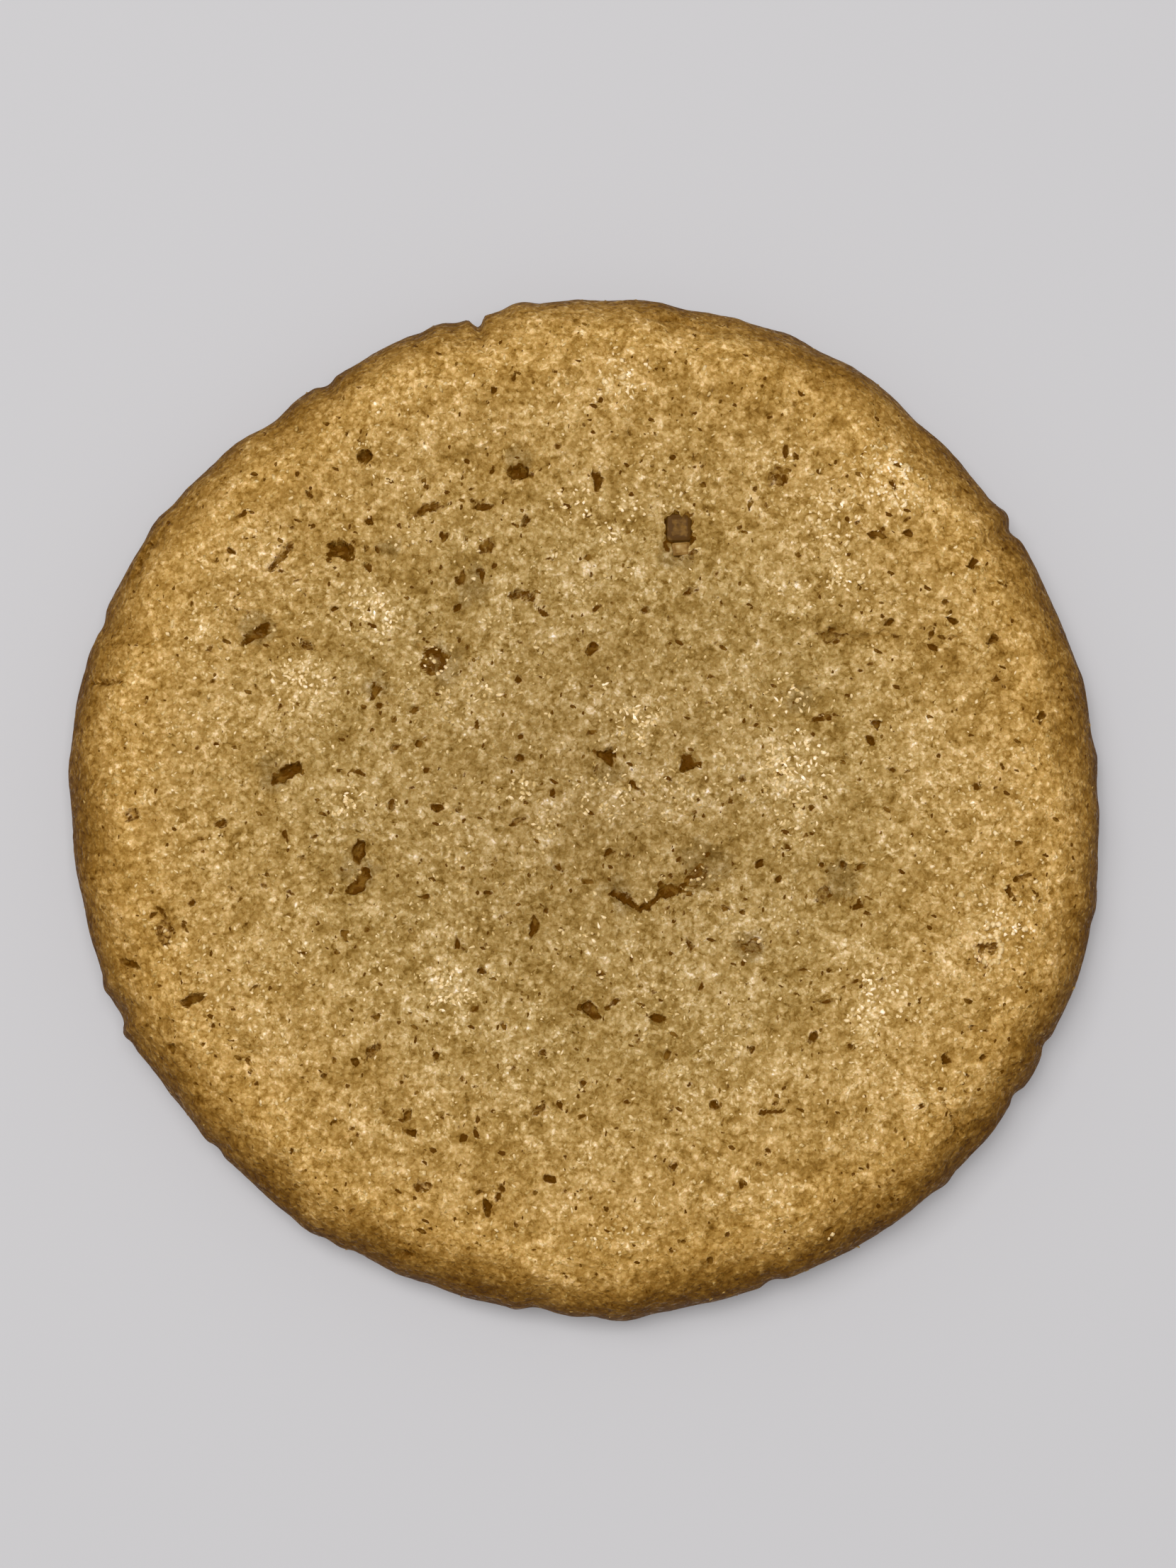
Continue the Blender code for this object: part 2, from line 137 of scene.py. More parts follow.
PITS = (  # x, y, length, width, bearing of the length
    (-17.1, 17.9, 2.2, 1.2, -25),
    (-15.3, 16.7, 1.0, 0.5, -40),
    (-5.0, 23.4, 1.5, 1.1, 20),
    (-4.3, 20.0, 0.7, 0.7, 60),
    (-7.2, 20.9, 1.6, 0.5, 0),
    (-15.6, 24.3, 1.2, 1.1, 40),
    (-11.6, 20.7, 2.1, 0.6, 40),
    (-8.9, 15.8, 0.7, 0.6, 0),
    (-9.1, 13.9, 0.8, 0.6, 20),
    (-4.9, 14.8, 0.9, 0.8, 20),
    (-3.3, 13.6, 1.0, 0.4, -40),
    (-10.0, 18.8, 0.8, 0.7, 0),
    (-7.3, 18.4, 0.5, 0.3, 30),
    (-15.3, 20.0, 0.7, 0.6, 0),
    (0.6, 22.8, 1.4, 0.8, -70),
    (12.7, 23.3, 0.4, 0.35, 0),
    (12.6, 22.5, 0.45, 0.3, 20),
    (13.7, 23.5, 0.7, 0.35, 10),
    (13.6, 24.8, 1.2, 0.5, 95),
    (0.5, 13.9, 0.7, 0.4, 40),
    (3.9, 13.7, 0.9, 0.5, 50),
    (6.9, 15.1, 0.8, 0.6, 50),
    (10.4, 19.5, 0.4, 0.4, 0),
    (1.15, 3.6, 1.5, 0.9, -10),
    (1.4, 3.95, 0.9, 0.6, 50),
    (0.2, 11.0, 1.0, 0.7, 50),
    (-4.8, 3.5, 0.8, 0.6, 0),
    (-10.4, 0.1, 0.9, 0.7, 10),
    (-5.0, -0.9, 1.1, 0.6, 45),
    (-11.2, 2.6, 0.6, 0.5, 0),
    (6.8, 3.25, 1.3, 0.85, -65),
    (6.9, 3.55, 1.6, 0.5, -35),
    (6.5, 2.95, 0.9, 0.5, 60),
    (7.45, 3.1, 0.7, 0.4, -15),
    (10.5, 2.0, 0.4, 0.4, 0),
    (11.8, -3.8, 0.7, 0.6, 0),
    (1.4, -3.0, 0.7, 0.5, 30),
    (-21.3, 17.5, 2.4, 0.7, 50),
    (-23.0, 12.2, 2.4, 0.9, 20),
    (-19.4, 11.3, 1.2, 0.7, -10),
    (-14.8, 8.1, 1.5, 0.7, 80),
    (-14.5, 7.1, 0.7, 0.5, 0),
    (-13.5, 6.1, 0.6, 0.5, 40),
    (-20.8, 2.5, 2.4, 1.1, 28),
    (-25.2, -1.0, 1.0, 0.7, -20),
    (-25.7, 4.5, 0.4, 0.4, 0),
    (22.2, 19.1, 0.7, 0.6, 20),
    (23.8, 11.1, 0.7, 0.5, 0),
    (25.2, 12.9, 0.7, 0.6, 80),
    (24.9, 11.7, 0.6, 0.5, 0),
    (28.0, 11.8, 1.0, 0.7, 50),
    (20.8, 12.9, 0.7, 0.5, 30),
    (19.4, 4.7, 1.0, 0.5, -75),
    (21.0, 22.6, 0.6, 0.5, 0),
    (26.6, 17.1, 0.7, 0.6, 60),
    (19.9, 19.1, 0.9, 0.4, 0),
    (15.9, 6.2, 1.0, 0.4, 0),
    (31.3, 6.4, 0.9, 0.6, 30),
    (-15.9, -3.0, 1.7, 1.0, 85),
    (-16.0, -5.4, 1.6, 1.1, 10),
    (-11.2, -6.1, 0.6, 0.5, 0),
    (-3.7, -8.0, 1.2, 0.7, -70),
    (0.0, -13.7, 1.2, 1.0, 0),
    (-14.9, -16.7, 1.3, 0.8, 75),
    (-10.5, -17.0, 0.7, 0.5, -80),
    (-7.9, -13.8, 0.6, 0.5, 0),
    (-3.2, -16.8, 0.7, 0.6, 0),
    (-5.2, -17.9, 0.6, 0.5, 0),
    (-12.4, -21.1, 0.9, 0.7, 90),
    (-8.6, -22.6, 0.6, 0.5, 0),
    (-6.95, -27.4, 1.1, 0.65, 80),
    (-7.5, -26.3, 0.8, 0.35, 10),
    (-2.7, -25.4, 1.0, 0.6, -30),
    (-31.6, -10.7, 1.3, 0.6, -10),
    (-27.4, -13.2, 2.2, 0.8, 25),
    (-28.7, -16.4, 0.6, 0.5, 0),
    (-27.3, -6.5, 0.6, 0.5, 40),
    (-31.2, -0.6, 0.4, 0.35, 50),
    (-19.7, -3.4, 0.6, 0.5, 0),
    (-3.5, -20.7, 1.2, 0.7, 20),
    (28.85, -5.7, 1.0, 0.5, 108),
    (29.27, -6.3, 0.5, 0.4, 30),
    (18.7, -4.0, 1.0, 0.6, 30),
    (16.2, -13.3, 1.5, 0.4, 0),
    (15.4, -15.7, 0.9, 0.6, 80),
    (11.1, -16.5, 0.6, 0.5, 0),
    (4.7, -14.4, 1.3, 0.6, -12),
    (3.3, -16.1, 0.5, 0.4, 0),
    (7.0, -9.5, 0.8, 0.6, 80),
    (8.6, -20.4, 1.0, 0.7, -35),
    (5.6, -20.6, 0.9, 0.4, 85),
    (12.5, -20.8, 1.9, 0.4, 0),
    (12.2, -23.4, 0.6, 0.5, 0),
    (5.6, -30.3, 0.4, 0.4, 0),
    (14.3, -8.5, 1.2, 0.3, 80),
    (5.3, -17.0, 1.0, 0.5, 70),
    (2.3, -5.9, 1.5, 0.7, -30),
    (5.5, -5.8, 1.7, 0.8, 15),
    (5.3, -6.9, 0.8, 0.35, 20),
    (-13.6, 0.2, 0.9, 0.7, 40),
    (-8.87, 15.85, 0.62, 0.55, 20),
    (-8.15, 15.7, 0.3, 0.25, 0),
    (-8.15, 14.5, 0.4, 0.3, 0),
    (-29.55, -7.0, 1.1, 0.32, -41),
    (10.25, -9.2, 0.45, 0.35, 0),
    (11.3, -9.0, 0.9, 0.35, 10),
    (11.75, -9.75, 0.5, 0.35, -40),
    (10.75, -9.85, 0.4, 0.25, 30),
    (6.7, -5.2, 0.4, 0.35, 0),
    (7.9, -5.4, 0.4, 0.3, 0),
    (8.7, -5.5, 0.8, 0.35, -50),
    (27.3, -10.7, 0.3, 0.25, 0),
    (16.5, -28.95, 0.7, 0.35, 20),
    (5.36, 18.07, 0.5, 0.45, 0),
    (6.5, 17.25, 1.4, 0.28, 3),
    (7.3, 23.7, 0.3, 0.3, 0),
    (7.9, 23.7, 0.4, 0.35, 0),
    (7.9, 22.4, 0.55, 0.4, 0),
    (7.9, 21.4, 0.3, 0.25, 40),
    (11.1, 21.0, 0.8, 0.3, 90),
    (2.7, 19.2, 0.45, 0.35, 10),
    (3.4, 17.7, 0.3, 0.25, 0),
    (-16.3, -27.6, 0.8, 0.3, 30),
    (-10.1, -21.1, 0.4, 0.35, 0),
    (-7.6, -21.4, 0.5, 0.3, 60),
    (-6.6, -20.8, 0.35, 0.3, 0),
    (27.2, -10.95, 1.0, 0.3, 5),
)
PIT_SIDES = (3, 5)  # the fewest and the most
PIT_DEPTH_SHARE = 0.70  # of a pit's width
PIT_MOST_DEPTH = 0.9
PIT_WALL = 0.40  # the wall takes up this share of the way in from the lip
PIT_RAGGEDNESS = 0.34
PIT_RAG_SIZE = 0.40
PIT_BROWNING_AND_SHADE = (0.55, 1.1)  # how dark pits are inside, browning with painted shade, from the palest to the darkest
DARK_WIDTHS = (0.5, 1.2)  # the least browning and painted shade rises from 0 to 1 between these widths
LIP_BLUR = (-0.14, 0.18)  # the brown and painted shade start this far outside a pit's lip and are full this far in
FLOOR_START = (0.25, 0.6)  # shares of the way in where the wall's brown and painted shade give way to the floor's
FLOOR_PALENESS = 0.40  # the floor of a wide pit is this much less brown than its walls, which hold more painted shade
PALE_FLOOR_WIDTHS = (0.6, 1.4)  # that paleness sets in between these widths
PIT_FLOOR_RELIEF = 0.45  # the floor of a pit is this uneven, as a share of its depth
PIT_FLOOR_SIZE = 0.45
SIDE_UNEVENNESS = 0.28  # each side of a hollow may face this share of a side's turn off
SIDE_DISTANCES = (0.85, 1.15)
HOLLOW_ROUNDNESS = 0.15  # 0 has straight sides, 1 none
HOLLOW_SEARCH = (0.8, 0.2)  # a hollow ends within this share of its length, plus this
PORES = 520  # small pits, strewn at random, more of them where the crust is sunk
PORE_LENGTHS = (0.30, 0.72)
PORE_WIDTH_SHARES = (0.45, 1.0)
PORE_REACH = 0.93  # share of the radius
PORE_CHANCE = 0.35  # that a place on plain crust gets its pore
SUNK_PORE_CHANCE = 0.5  # a patch of tone -1 adds this

MELTED_SPOTS = (  # shallow hollows where sugar melted: x, y, length, width, bearing, browning with painted shade
    (-10.7, 10.2, 2.1, 1.9, 60, 0.70),
    (-29.2, -8.5, 2.2, 1.3, 85, 0.58),
    (11.1, -9.5, 1.8, 1.1, 0, 0.54),
    (7.4, -4.6, 1.8, 1.2, 60, 0.64),
    (27.4, -9.6, 1.6, 1.0, 0, 0.60),
    (7.2, 17.9, 0.9, 0.6, 70, 0.54),
    (16.8, 11.8, 1.4, 1.1, 5, 0.60),
    (16.1, -6.0, 1.5, 1.2, 70, 0.52),
    (13.1, 23.0, 1.7, 1.5, 5, 0.58),
    (-7.1, 18.2, 1.2, 1.0, 30, 0.68),
    (-4.2, 14.7, 1.3, 0.9, 10, 0.64),
    (-11.4, -25.9, 1.5, 1.1, -10, 0.64),
    (-12.6, -30.5, 1.8, 0.6, -10, 0.66),
    (29.8, -4.75, 1.7, 0.5, 15, 0.66),
    (-31.5, -0.5, 1.4, 1.0, 50, 0.56),
)
MELTED_SIDES = (6, 8)
MELTED_DEPTH = 0.28
MELTED_FLOOR = 0.8  # of the walls' brown and painted shade

GROOVES = (  # points that it runs through, half width, depth
    (((1.2, -5.8), (2.0, -6.0), (2.7, -6.4), (3.5, -6.9), (4.3, -6.5), (4.9, -6.0)), 0.26, 0.80),
    (((4.5, -6.3), (5.0, -5.7), (5.5, -5.4), (6.0, -5.5), (6.6, -5.8)), 0.28, 0.75),
    (((5.9, -5.4), (6.5, -5.2), (7.1, -5.4), (7.7, -5.3)), 0.15, 0.50),
    (((17.4, 11.7), (19.6, 12.0), (20.9, 12.3)), 0.16, 0.25),
    (((24.1, -19.7), (24.9, -21.2), (25.6, -23.0)), 0.20, 0.40),
    (((-29.4, 19.4), (-30.7, 17.6), (-31.6, 15.8)), 0.30, 0.35),
    (((-34.4, 8.6), (-33.4, 8.7), (-32.3, 8.8)), 0.26, 0.45),
    (((3.4, 34.2), (6.0, 34.0), (8.6, 33.1)), 0.26, 0.25),
)
GROOVE_END = 0.3  # share of its width and depth that a groove has at its ends
GROOVE_SWELL = 0.6  # power by which it grows towards its middle
GROOVE_WALL = 0.8
GROOVE_BROWNING_AND_SHADE = 1.3  # browning and painted shade for a millimetre of depth: a deeper groove is painted darker
GROOVE_LIP = (-0.1, 0.6)

PATCHES = (  # x, y, reach, tone: above 0 stands out and is paler, below 0 is sunk and browner, partly painted light and shade
    (-14.6, 20.6, 3.2, -0.8),
    (-9.6, 22.6, 3.0, -0.8),
    (-6.0, 24.0, 2.4, -0.6),
    (6.3, 18.4, 2.8, -1.0),
    (-10.6, 10.6, 2.6, -0.8),
    (-8.4, 15.2, 2.6, -0.8),
    (-14.9, 8.0, 2.4, -0.6),
    (-23.2, 12.2, 2.6, -0.7),
    (-21.6, 2.2, 2.8, -0.7),
    (-15.8, -4.2, 3.2, -1.0),
    (-17.0, -9.4, 2.8, -0.6),
    (1.2, 3.8, 2.2, -0.6),
    (6.8, 3.4, 2.2, -0.7),
    (2.0, -6.0, 1.8, -0.7),
    (5.8, -6.0, 1.8, -0.6),
    (3.8, -5.2, 1.4, 0.6),
    (9.0, -3.6, 2.6, -0.7),
    (17.4, 12.0, 2.4, -0.7),
    (21.6, 12.2, 2.4, -0.6),
    (14.2, 7.8, 3.2, -0.6),
    (-4.6, -8.6, 2.8, -0.6),
    (0.2, -13.6, 2.8, -0.7),
    (-6.4, -26.4, 2.4, -0.6),
    (-2.6, -25.4, 2.2, -0.6),
    (17.2, -5.2, 3.0, -0.7),
    (15.6, -15.2, 2.6, -0.5),
    (-30.6, 1.8, 2.6, 0.7),
    (-30.0, -4.0, 2.8, 0.7),
    (-15.2, 14.2, 2.8, 0.8),
    (-20.0, 8.4, 3.0, 0.7),
    (3.4, 5.8, 2.8, 0.9),
    (13.6, 2.4, 4.0, 0.9),
    (20.8, -14.4, 4.2, 0.7),
    (10.2, -25.2, 3.4, 0.6),
    (21.0, 22.8, 3.0, 0.8),
    (-17.2, 0.4, 2.2, 0.6),
    (2.4, 29.4, 2.6, 0.6),
    (-3.6, 9.0, 3.0, 0.5),
    (-11.0, -13.4, 3.2, 0.5),
    (-21.0, -17.0, 3.2, 0.5),
    (27.0, 4.0, 3.0, 0.5),
)
MOIST_SPOTS = (  # x, y, reach: the dough is greyer here, as round the hollows where it stayed moist
    (-8.2, 15.3, 1.7),
    (-9.8, 10.0, 1.8),
    (11.1, -9.5, 1.5),
    (8.0, -4.0, 2.2),
    (1.2, 2.6, 1.3),
    (6.0, 17.7, 1.5),
    (-4.9, 24.1, 1.3),
    (-13.8, 18.0, 1.0),
    (-14.8, 8.4, 1.3),
    (-15.8, -4.2, 1.7),
    (-21.4, 2.4, 1.6),
    (-23.0, 12.2, 1.5),
    (14.4, 7.6, 1.2),
    (17.4, -5.0, 1.7),
    (2.0, -6.0, 1.6),
)
MOIST_BORDER = (0.05, 0.8)
MOIST_RAGGEDNESS = 0.9
MOIST_RAG_SIZE = 1.1
RIM_BROWNING_AND_SHADE = (  # bearing, how far in the rim's brown reaches, as a share of the radius: browning and painted shade
    (0, 0.022),
    (45, 0.002),
    (90, -0.002),
    (135, -0.003),
    (180, 0.014),
    (225, 0.016),
    (270, 0.035),
    (315, 0.022),
)
BROWNED_RIM = (0.80, 1.0)  # that brown and painted shade set in between these shares of the way out
SIDE_RIM = 0.9  # the side starts at this share of the way out
SIDE_BROWNING_TOP = 0.75 * THICKNESS  # and darkens from this height down

CRUMB_LAYERS = (  # relief of the crumb: size, height
    (1.9, 0.10),
    (1.05, 0.09),
    (0.62, 0.07),
)
CRUMB_MIDDLE = 0.45
TONE_LAYERS = ((6.5, 0.75), (3.2, 0.75), (1.7, 0.5))  # size, share
TONE_SHIFT = (7.3, 1.9, 4.1)  # parts the tone's noise from the crumb's
TONE_HEIGHT = 0.13  # a patch of tone 1 stands out this far
RELIEF_SINK = 0.08  # the relief is let in this far, so that its crests hardly pass the solid's box
RELIEF_FOOT = (0.3, 1.8)  # it fades in between these heights
SMOOTH_RIM = (0.90, 0.985)  # and out between these shares of the way out, by this share:
RIM_SMOOTHNESS = 0.75

# How finely the crust is meshed
TOP_SQUARES = 260  # along each side of the sheet that becomes the top and the side
BASE_SQUARES = 72  # and of the sheet that becomes the base
FINE_MARGIN = 0.15  # the mesh is twice as fine this far round a hollow or a groove

# ---- Sugar ----
GRAIN_RADIUS = 0.55  # of a grain of size 1, before its corners are moved
GRAIN_TIP = 0.3  # how far grains usually lean off the crust's normal
SUGAR_GRAINS = 5400
SUGAR_SIZES = ((0.18, 0.50), (0.13, 0.28), (0.13, 0.24))  # lengths, widths, heights
SUGAR_SINK = 0.30  # a grain is let in by this share of its height
SUGAR_JITTER = 0.48
SUGAR_LOTS = (-0.45, 0.12)  # how dark and how pale single grains are
SUGARED_TONES = (-0.3, 1.2)  # grains lie thicker from the first tone to the second
GRAINS_ANYWHERE = 0.15
GRAIN_HOLLOW = 0.03  # grains keep out of hollows deeper than this
BARE_RIM = (0.86, 0.95)  # grains grow few and brown between these shares of the way out
RIM_BARENESS = 0.93
RIM_GRAIN_BROWN = 0.6
GLINT_SPOTS = (  # x, y, reach: sugar lies thick here
    (3.5, 6.2, 1.8),
    (0.9, 8.3, 1.0),
    (2.1, 0.1, 1.2),
    (16.8, 20.0, 2.6),
    (17.5, 15.6, 2.0),
    (13.4, 7.4, 1.9),
    (-0.4, 0.1, 0.9),
    (-4.9, 1.3, 1.3),
    (-7.0, 8.0, 1.4),
    (0.0, -8.4, 1.0),
    (14.3, 3.0, 3.2),
    (-20.2, 8.5, 2.6),
    (-17.0, 0.6, 1.8),
    (2.6, 20.7, 1.4),
    (-1.2, 20.8, 1.8),
    (1.7, 19.0, 1.6),
    (21.1, 22.9, 3.4),
    (2.4, 29.7, 2.2),
    (-14.9, 13.6, 2.4),
    (28.6, -8.4, 2.2),
    (19.4, -13.2, 3.0),
    (-9.4, -12.6, 2.6),
)
GRAINS_IN_GLINTS = 1.2
GLINT_SIZE = 0.3  # how much larger grains are there
# grains there are painted this much paler: a painted highlight
GLINT_PALENESS = 0.3

PALE_GRAINS = (  # x, y, length: single pale grains, most of them in or beside a hollow
    (5.9, 17.85, 0.3),
    (6.8, 18.15, 0.35),
    (-7.05, -26.6, 0.5),
    (25.55, -6.15, 0.6),
    (25.1, -5.5, 0.45),
    (30.1, -8.4, 0.6),
    (30.5, -7.0, 0.4),
    (30.5, -6.1, 0.4),
    (30.7, -5.0, 0.5),
    (29.7, -9.4, 0.4),
    (-10.6, 10.8, 0.35),
    (-11.3, 10.4, 0.3),
    (-10.7, 10.2, 0.45),
    (-10.9, 10.35, 0.3),
    (-9.9, 10.3, 0.35),
    (-11.35, 9.85, 0.35),
    (-10.0, 9.7, 0.5),
    (-10.4, 9.3, 0.5),
    (-10.2, 9.5, 0.35),
    (-8.0, 15.9, 0.45),
    (-29.2, -8.4, 0.4),
    (-30.6, -7.3, 0.4),
    (11.5, -9.3, 0.45),
    (11.7, -9.1, 0.3),
    (7.6, -4.95, 0.5),
    (7.8, -4.75, 0.3),
    (7.0, -5.0, 0.35),
    (7.85, -5.1, 0.3),
    (7.3, -4.15, 0.3),
    (16.65, -29.1, 0.5),
    (16.3, -29.4, 0.4),
)
GRAIN_RINGS = (  # x, y, radius, first and last bearing: pale grains laid round a melted spot
    (27.4, -9.7, 0.95, -150, 130),
    (27.7, -8.5, 0.5, 20, 150),
)
RING_SPACING = 0.14  # between the grains of a ring
RING_GRAIN_LENGTH = 0.5
PALE_GRAIN_SHARE = 0.8  # of the table's length, because its moved corners make a grain longer
PALE_GRAIN_WIDTHS = (0.6, 0.95)  # shares of the length
PALE_GRAIN_HEIGHT = 0.6
PALE_GRAIN_SHIFT = 0.05
PALE_GRAIN_JITTER = 0.45
PALE_GRAIN_LOTS = (-0.20, 0.15)

COARSE_SUGAR = (  # x, y, length, width, bearing, top's depth, paleness, browning and painted shade of its hollow
    (6.2, 19.4, 1.9, 1.7, 90, 0.10, -0.12, 1.0),
    (6.35, 17.95, 1.3, 0.9, 5, 0.10, 0.28, 0.55),
)
SQUARE_SIDES = ((1, 0), (0, 1), (-1, 0), (0, -1))
HOLLOW_ROOM = 1.14  # a coarse crystal's hollow is this many times as large as the crystal
CRYSTAL_DEPTH = 0.6  # of that hollow
CRYSTAL_HEIGHT = 0.6  # share of its width
CRYSTAL_FLOOR = 0.3  # the floor is read within this share of its width from its middle,
CRYSTAL_BANK = (0.75, 1.1)  # and the crust round it between these shares of its length
CRYSTAL_TIP = 0.08  # radians, at most
CRYSTAL_BEVEL = 0.17  # this and the next three are shares of its size
CRYSTAL_FRAME = 0.07
CRYSTAL_WEAR = 0.025
CRYSTAL_MIDDLE = (0.32, 0.24)  # it is darkest out from the first, and palest in from the second
CRYSTAL_EDGE_DARKNESS = 0.24

# ---- Colours ----
CRUST_STOPS = (  # from the middle of the top to the edge
    (0.00, (0.435, 0.280, 0.098)),
    (0.50, (0.482, 0.310, 0.103)),
    (0.80, (0.540, 0.325, 0.097)),
    (0.90, (0.590, 0.347, 0.098)),
    (0.96, (0.341, 0.174, 0.031)),
    (1.00, (0.176, 0.077, 0.0075)),
)
FOOT_BROWN = (0.115, 0.042, 0.005)
MOIST_DOUGH = (0.340, 0.224, 0.086)
MOIST_SHARE = 0.58
# the dark brown painted in pits, grooves and slits: baked brown, deepened by painted shade
PIT_BROWN_AND_SHADE = (0.122, 0.043, 0.001)
PIT_CRUMB = (0.225, 0.105, 0.012)  # the paler crumb that shows here and there in a pit
FINE_SUGAR_HONEY = (0.86, 0.62, 0.30)
COARSE_STOPS = (
    (0.20, (0.100, 0.042, 0.005)),
    (0.50, (0.245, 0.122, 0.022)),
    (0.75, (0.400, 0.235, 0.070)),
    (1.00, (0.600, 0.420, 0.190)),
)
TINT_POWERS = (1.0, 1.27, 2.2)  # a darker place is also redder, as baked dough is

# ---- Patterns in the crust ----
CRUST_CLOUDS = (  # size, detail, roughness, distortion, how much it lightens and darkens
    (3.4, 2.0, 0.5, 0.0, 0.5),
    (1.5, 2.0, 0.5, 0.0, 0.85),
    (0.8, 2.0, 0.5, 0.5, 0.95),
    (0.42, 2.0, 0.6, 0.6, 1.0),
    (0.24, 1.0, 0.5, 0.4, 0.8),
)
FACET_SIZE = 0.40
FACET_WARP = (1.3, 0.7)  # size and reach of the warp, as shares of a facet's size
GRAIN_SHADE = 0.40
FLECK_TURNS = (12, 71, 133)
FLECK_STRETCH = (2.1, 2.8, 2.6)  # flecks to a millimetre, along, across and through
SLITS = (((10, 5, 25), 1.7, 0.23), ((40, 25, 110), 1.15, 0.15))  # turn, spacing, radius
SLIT_STRETCH = (1.0, 2.0, 1.5)  # slits are twice as long as wide, and 1.5 times as long as deep
SLIT_WARP = (2.2, 2.6)  # this and the next two are shares of a slit's radius
SLIT_REACH = 1.35
SLIT_EDGE = 0.18
SLIT_CHANCES = (0.3, 1.0)  # cells below the first have no slit
# raised crust is painted paler and sunk crust darker: partly its own tone, partly painted light and
# shade
TONE_SHADE = 0.10
COARSE_IN_TONE = 2.0
BROWN_RAG = 1.2
FINE_HEIGHT = 0.40
MEDIUM_HEIGHT = 0.50
FACET_HEIGHT = 0.60
SLIT_HEIGHT = -0.30
SUGAR_CLOUD = 0.8

# Rows for stretch: a value between the first two numbers becomes one between the last two, or
# between 0 and 1 where there are only two
BAKING_WANDER = (0.3, 0.7, -0.02, 0.02)
# painted shade: darker towards each packed grain's edge, where the grains meet
GRAIN_EDGES = (0.20, 0.70, 0.06, -0.12)
# the flecks' paleness: sugar in the crust, partly painted glints
FLECK_SHADE = (0.60, 0.74, 0.0, 0.36)
FLECK_GLOSS = (0.60, 0.74, 0.62, 0.28)
FLECK_HEIGHT = (0.58, 0.76, 0.0, 0.20)
FLECKS_ON_SUNK = (-1.0, 0.6, 0.30, 1.0)
# the next two rows are painted shade: darker in the creases of the fine bump and of the crumb's
# relief
CREASE_SHADE = (0.42, 0.30, 0.0, -0.31)
CRUMB_SHADE = (0.02, -0.14, 0.0, -0.25)
# the border of the hollows' painted brown and shade
BROWN_BORDER = (0.30, 0.62)
PALE_CRUMB_BORDER = (0.49, 0.65)

# ---- Camera, light and floor ----
CAMERA_DISTANCE = 220.0
CAMERA_TILT = math.radians(3.5)  # off straight down, so that a little more of the near side shows
CAMERA_AIM = (0.29, 1.42, 0.75)
CAMERA_LENS = 72.6
CAMERA_SENSOR = 36.0
CAMERA_BACK = (0, -math.sin(CAMERA_TILT), math.cos(CAMERA_TILT))
CAMERA_PLACE = [aim + CAMERA_DISTANCE * back for aim, back in zip(CAMERA_AIM, CAMERA_BACK)]
READING_SHIFT = (0.37, -0.39)  # from the middle of the box to the middle that the tables go by
FLOOR_SIZE = 3.0  # metres
FLOOR_GAP = 0.02  # the floor lies this far under the base, so that the two don't share a plane
LAMPS = (  # name, size in metres, watts, direction, distance in metres
    ("window", 0.35, 2.1, (-0.27, 0.24, 1.0), 0.9),
    ("overhead", 0.40, 3.4, (0.0, 0.05, 1.0), 0.8),
)


def smooth_step(low, high, value):
    share = np.clip((value - low) / (high - low), 0, 1)
    return share * share * (3 - 2 * share)


def nearness(x, y, spot_x, spot_y, reach):
    """1 in the middle of a spot, falling to 0 at its reach."""
    away = np.hypot(x - spot_x, y - spot_y) / reach
    return np.clip(1 - away * away, 0, 1)


def nearness_to_any(x, y, spots):
    """1 in the middle of each of the spots, 0 outside all of them."""
    share = np.zeros_like(x)
    for spot in spots:
        share = np.maximum(share, nearness(x, y, *spot))
    return share


def select_only(*objects):
    """Selects these and makes the first one active."""
    bpy.ops.object.select_all(action="DESELECT")
    for obj in objects:
        obj.select_set(True)
    bpy.context.view_layer.objects.active = objects[0]


def joined(name, *objects):
    """Joins the objects into the first one and names it."""
    select_only(*objects)
    bpy.ops.object.join()
    objects[0].name = objects[0].data.name = name
    return objects[0]


def enter(mode):
    bpy.ops.object.mode_set(mode=mode)


def drop_selection(kind):
    """In edit mode: selects nothing, and sets whether faces or edges are selected next."""
    bpy.ops.mesh.select_mode(type=kind)
    bpy.ops.mesh.select_all(action="DESELECT")


def read_vectors(items, name):
    flat = np.empty(len(items) * 3, np.float32)
    items.foreach_get(name, flat)
    return flat.reshape(-1, 3).astype(float)


def read_points(mesh):
    return read_vectors(mesh.vertices, "co")


def read_normals(mesh):
    return read_vectors(mesh.vertex_normals, "vector")


def write_points(mesh, points):
    mesh.vertices.foreach_set("co", points.astype(np.float32).ravel())
    mesh.update()


def write_attribute(mesh, name, values):
    attribute = mesh.attributes.new(name, "FLOAT", "POINT")
    attribute.data.foreach_set("value", values.astype(np.float32))


def noise_at(points, size, octaves=1):
    """Soft noise from about -1 to 1 at each point, with features about size across."""
    if octaves == 1:
        return np.array([noise.noise(Vector(point) / size) for point in points])
    return np.array([noise.fractal(Vector(point) / size, 1.0, 2.0, octaves) for point in points])


# ---- The crust's plain form ----
def top_height(radius):
    share = np.minimum(1.0, radius / (RING_SHARE * RADIUS))
    return THICKNESS - CENTRE_DIP * (1 - share * share)


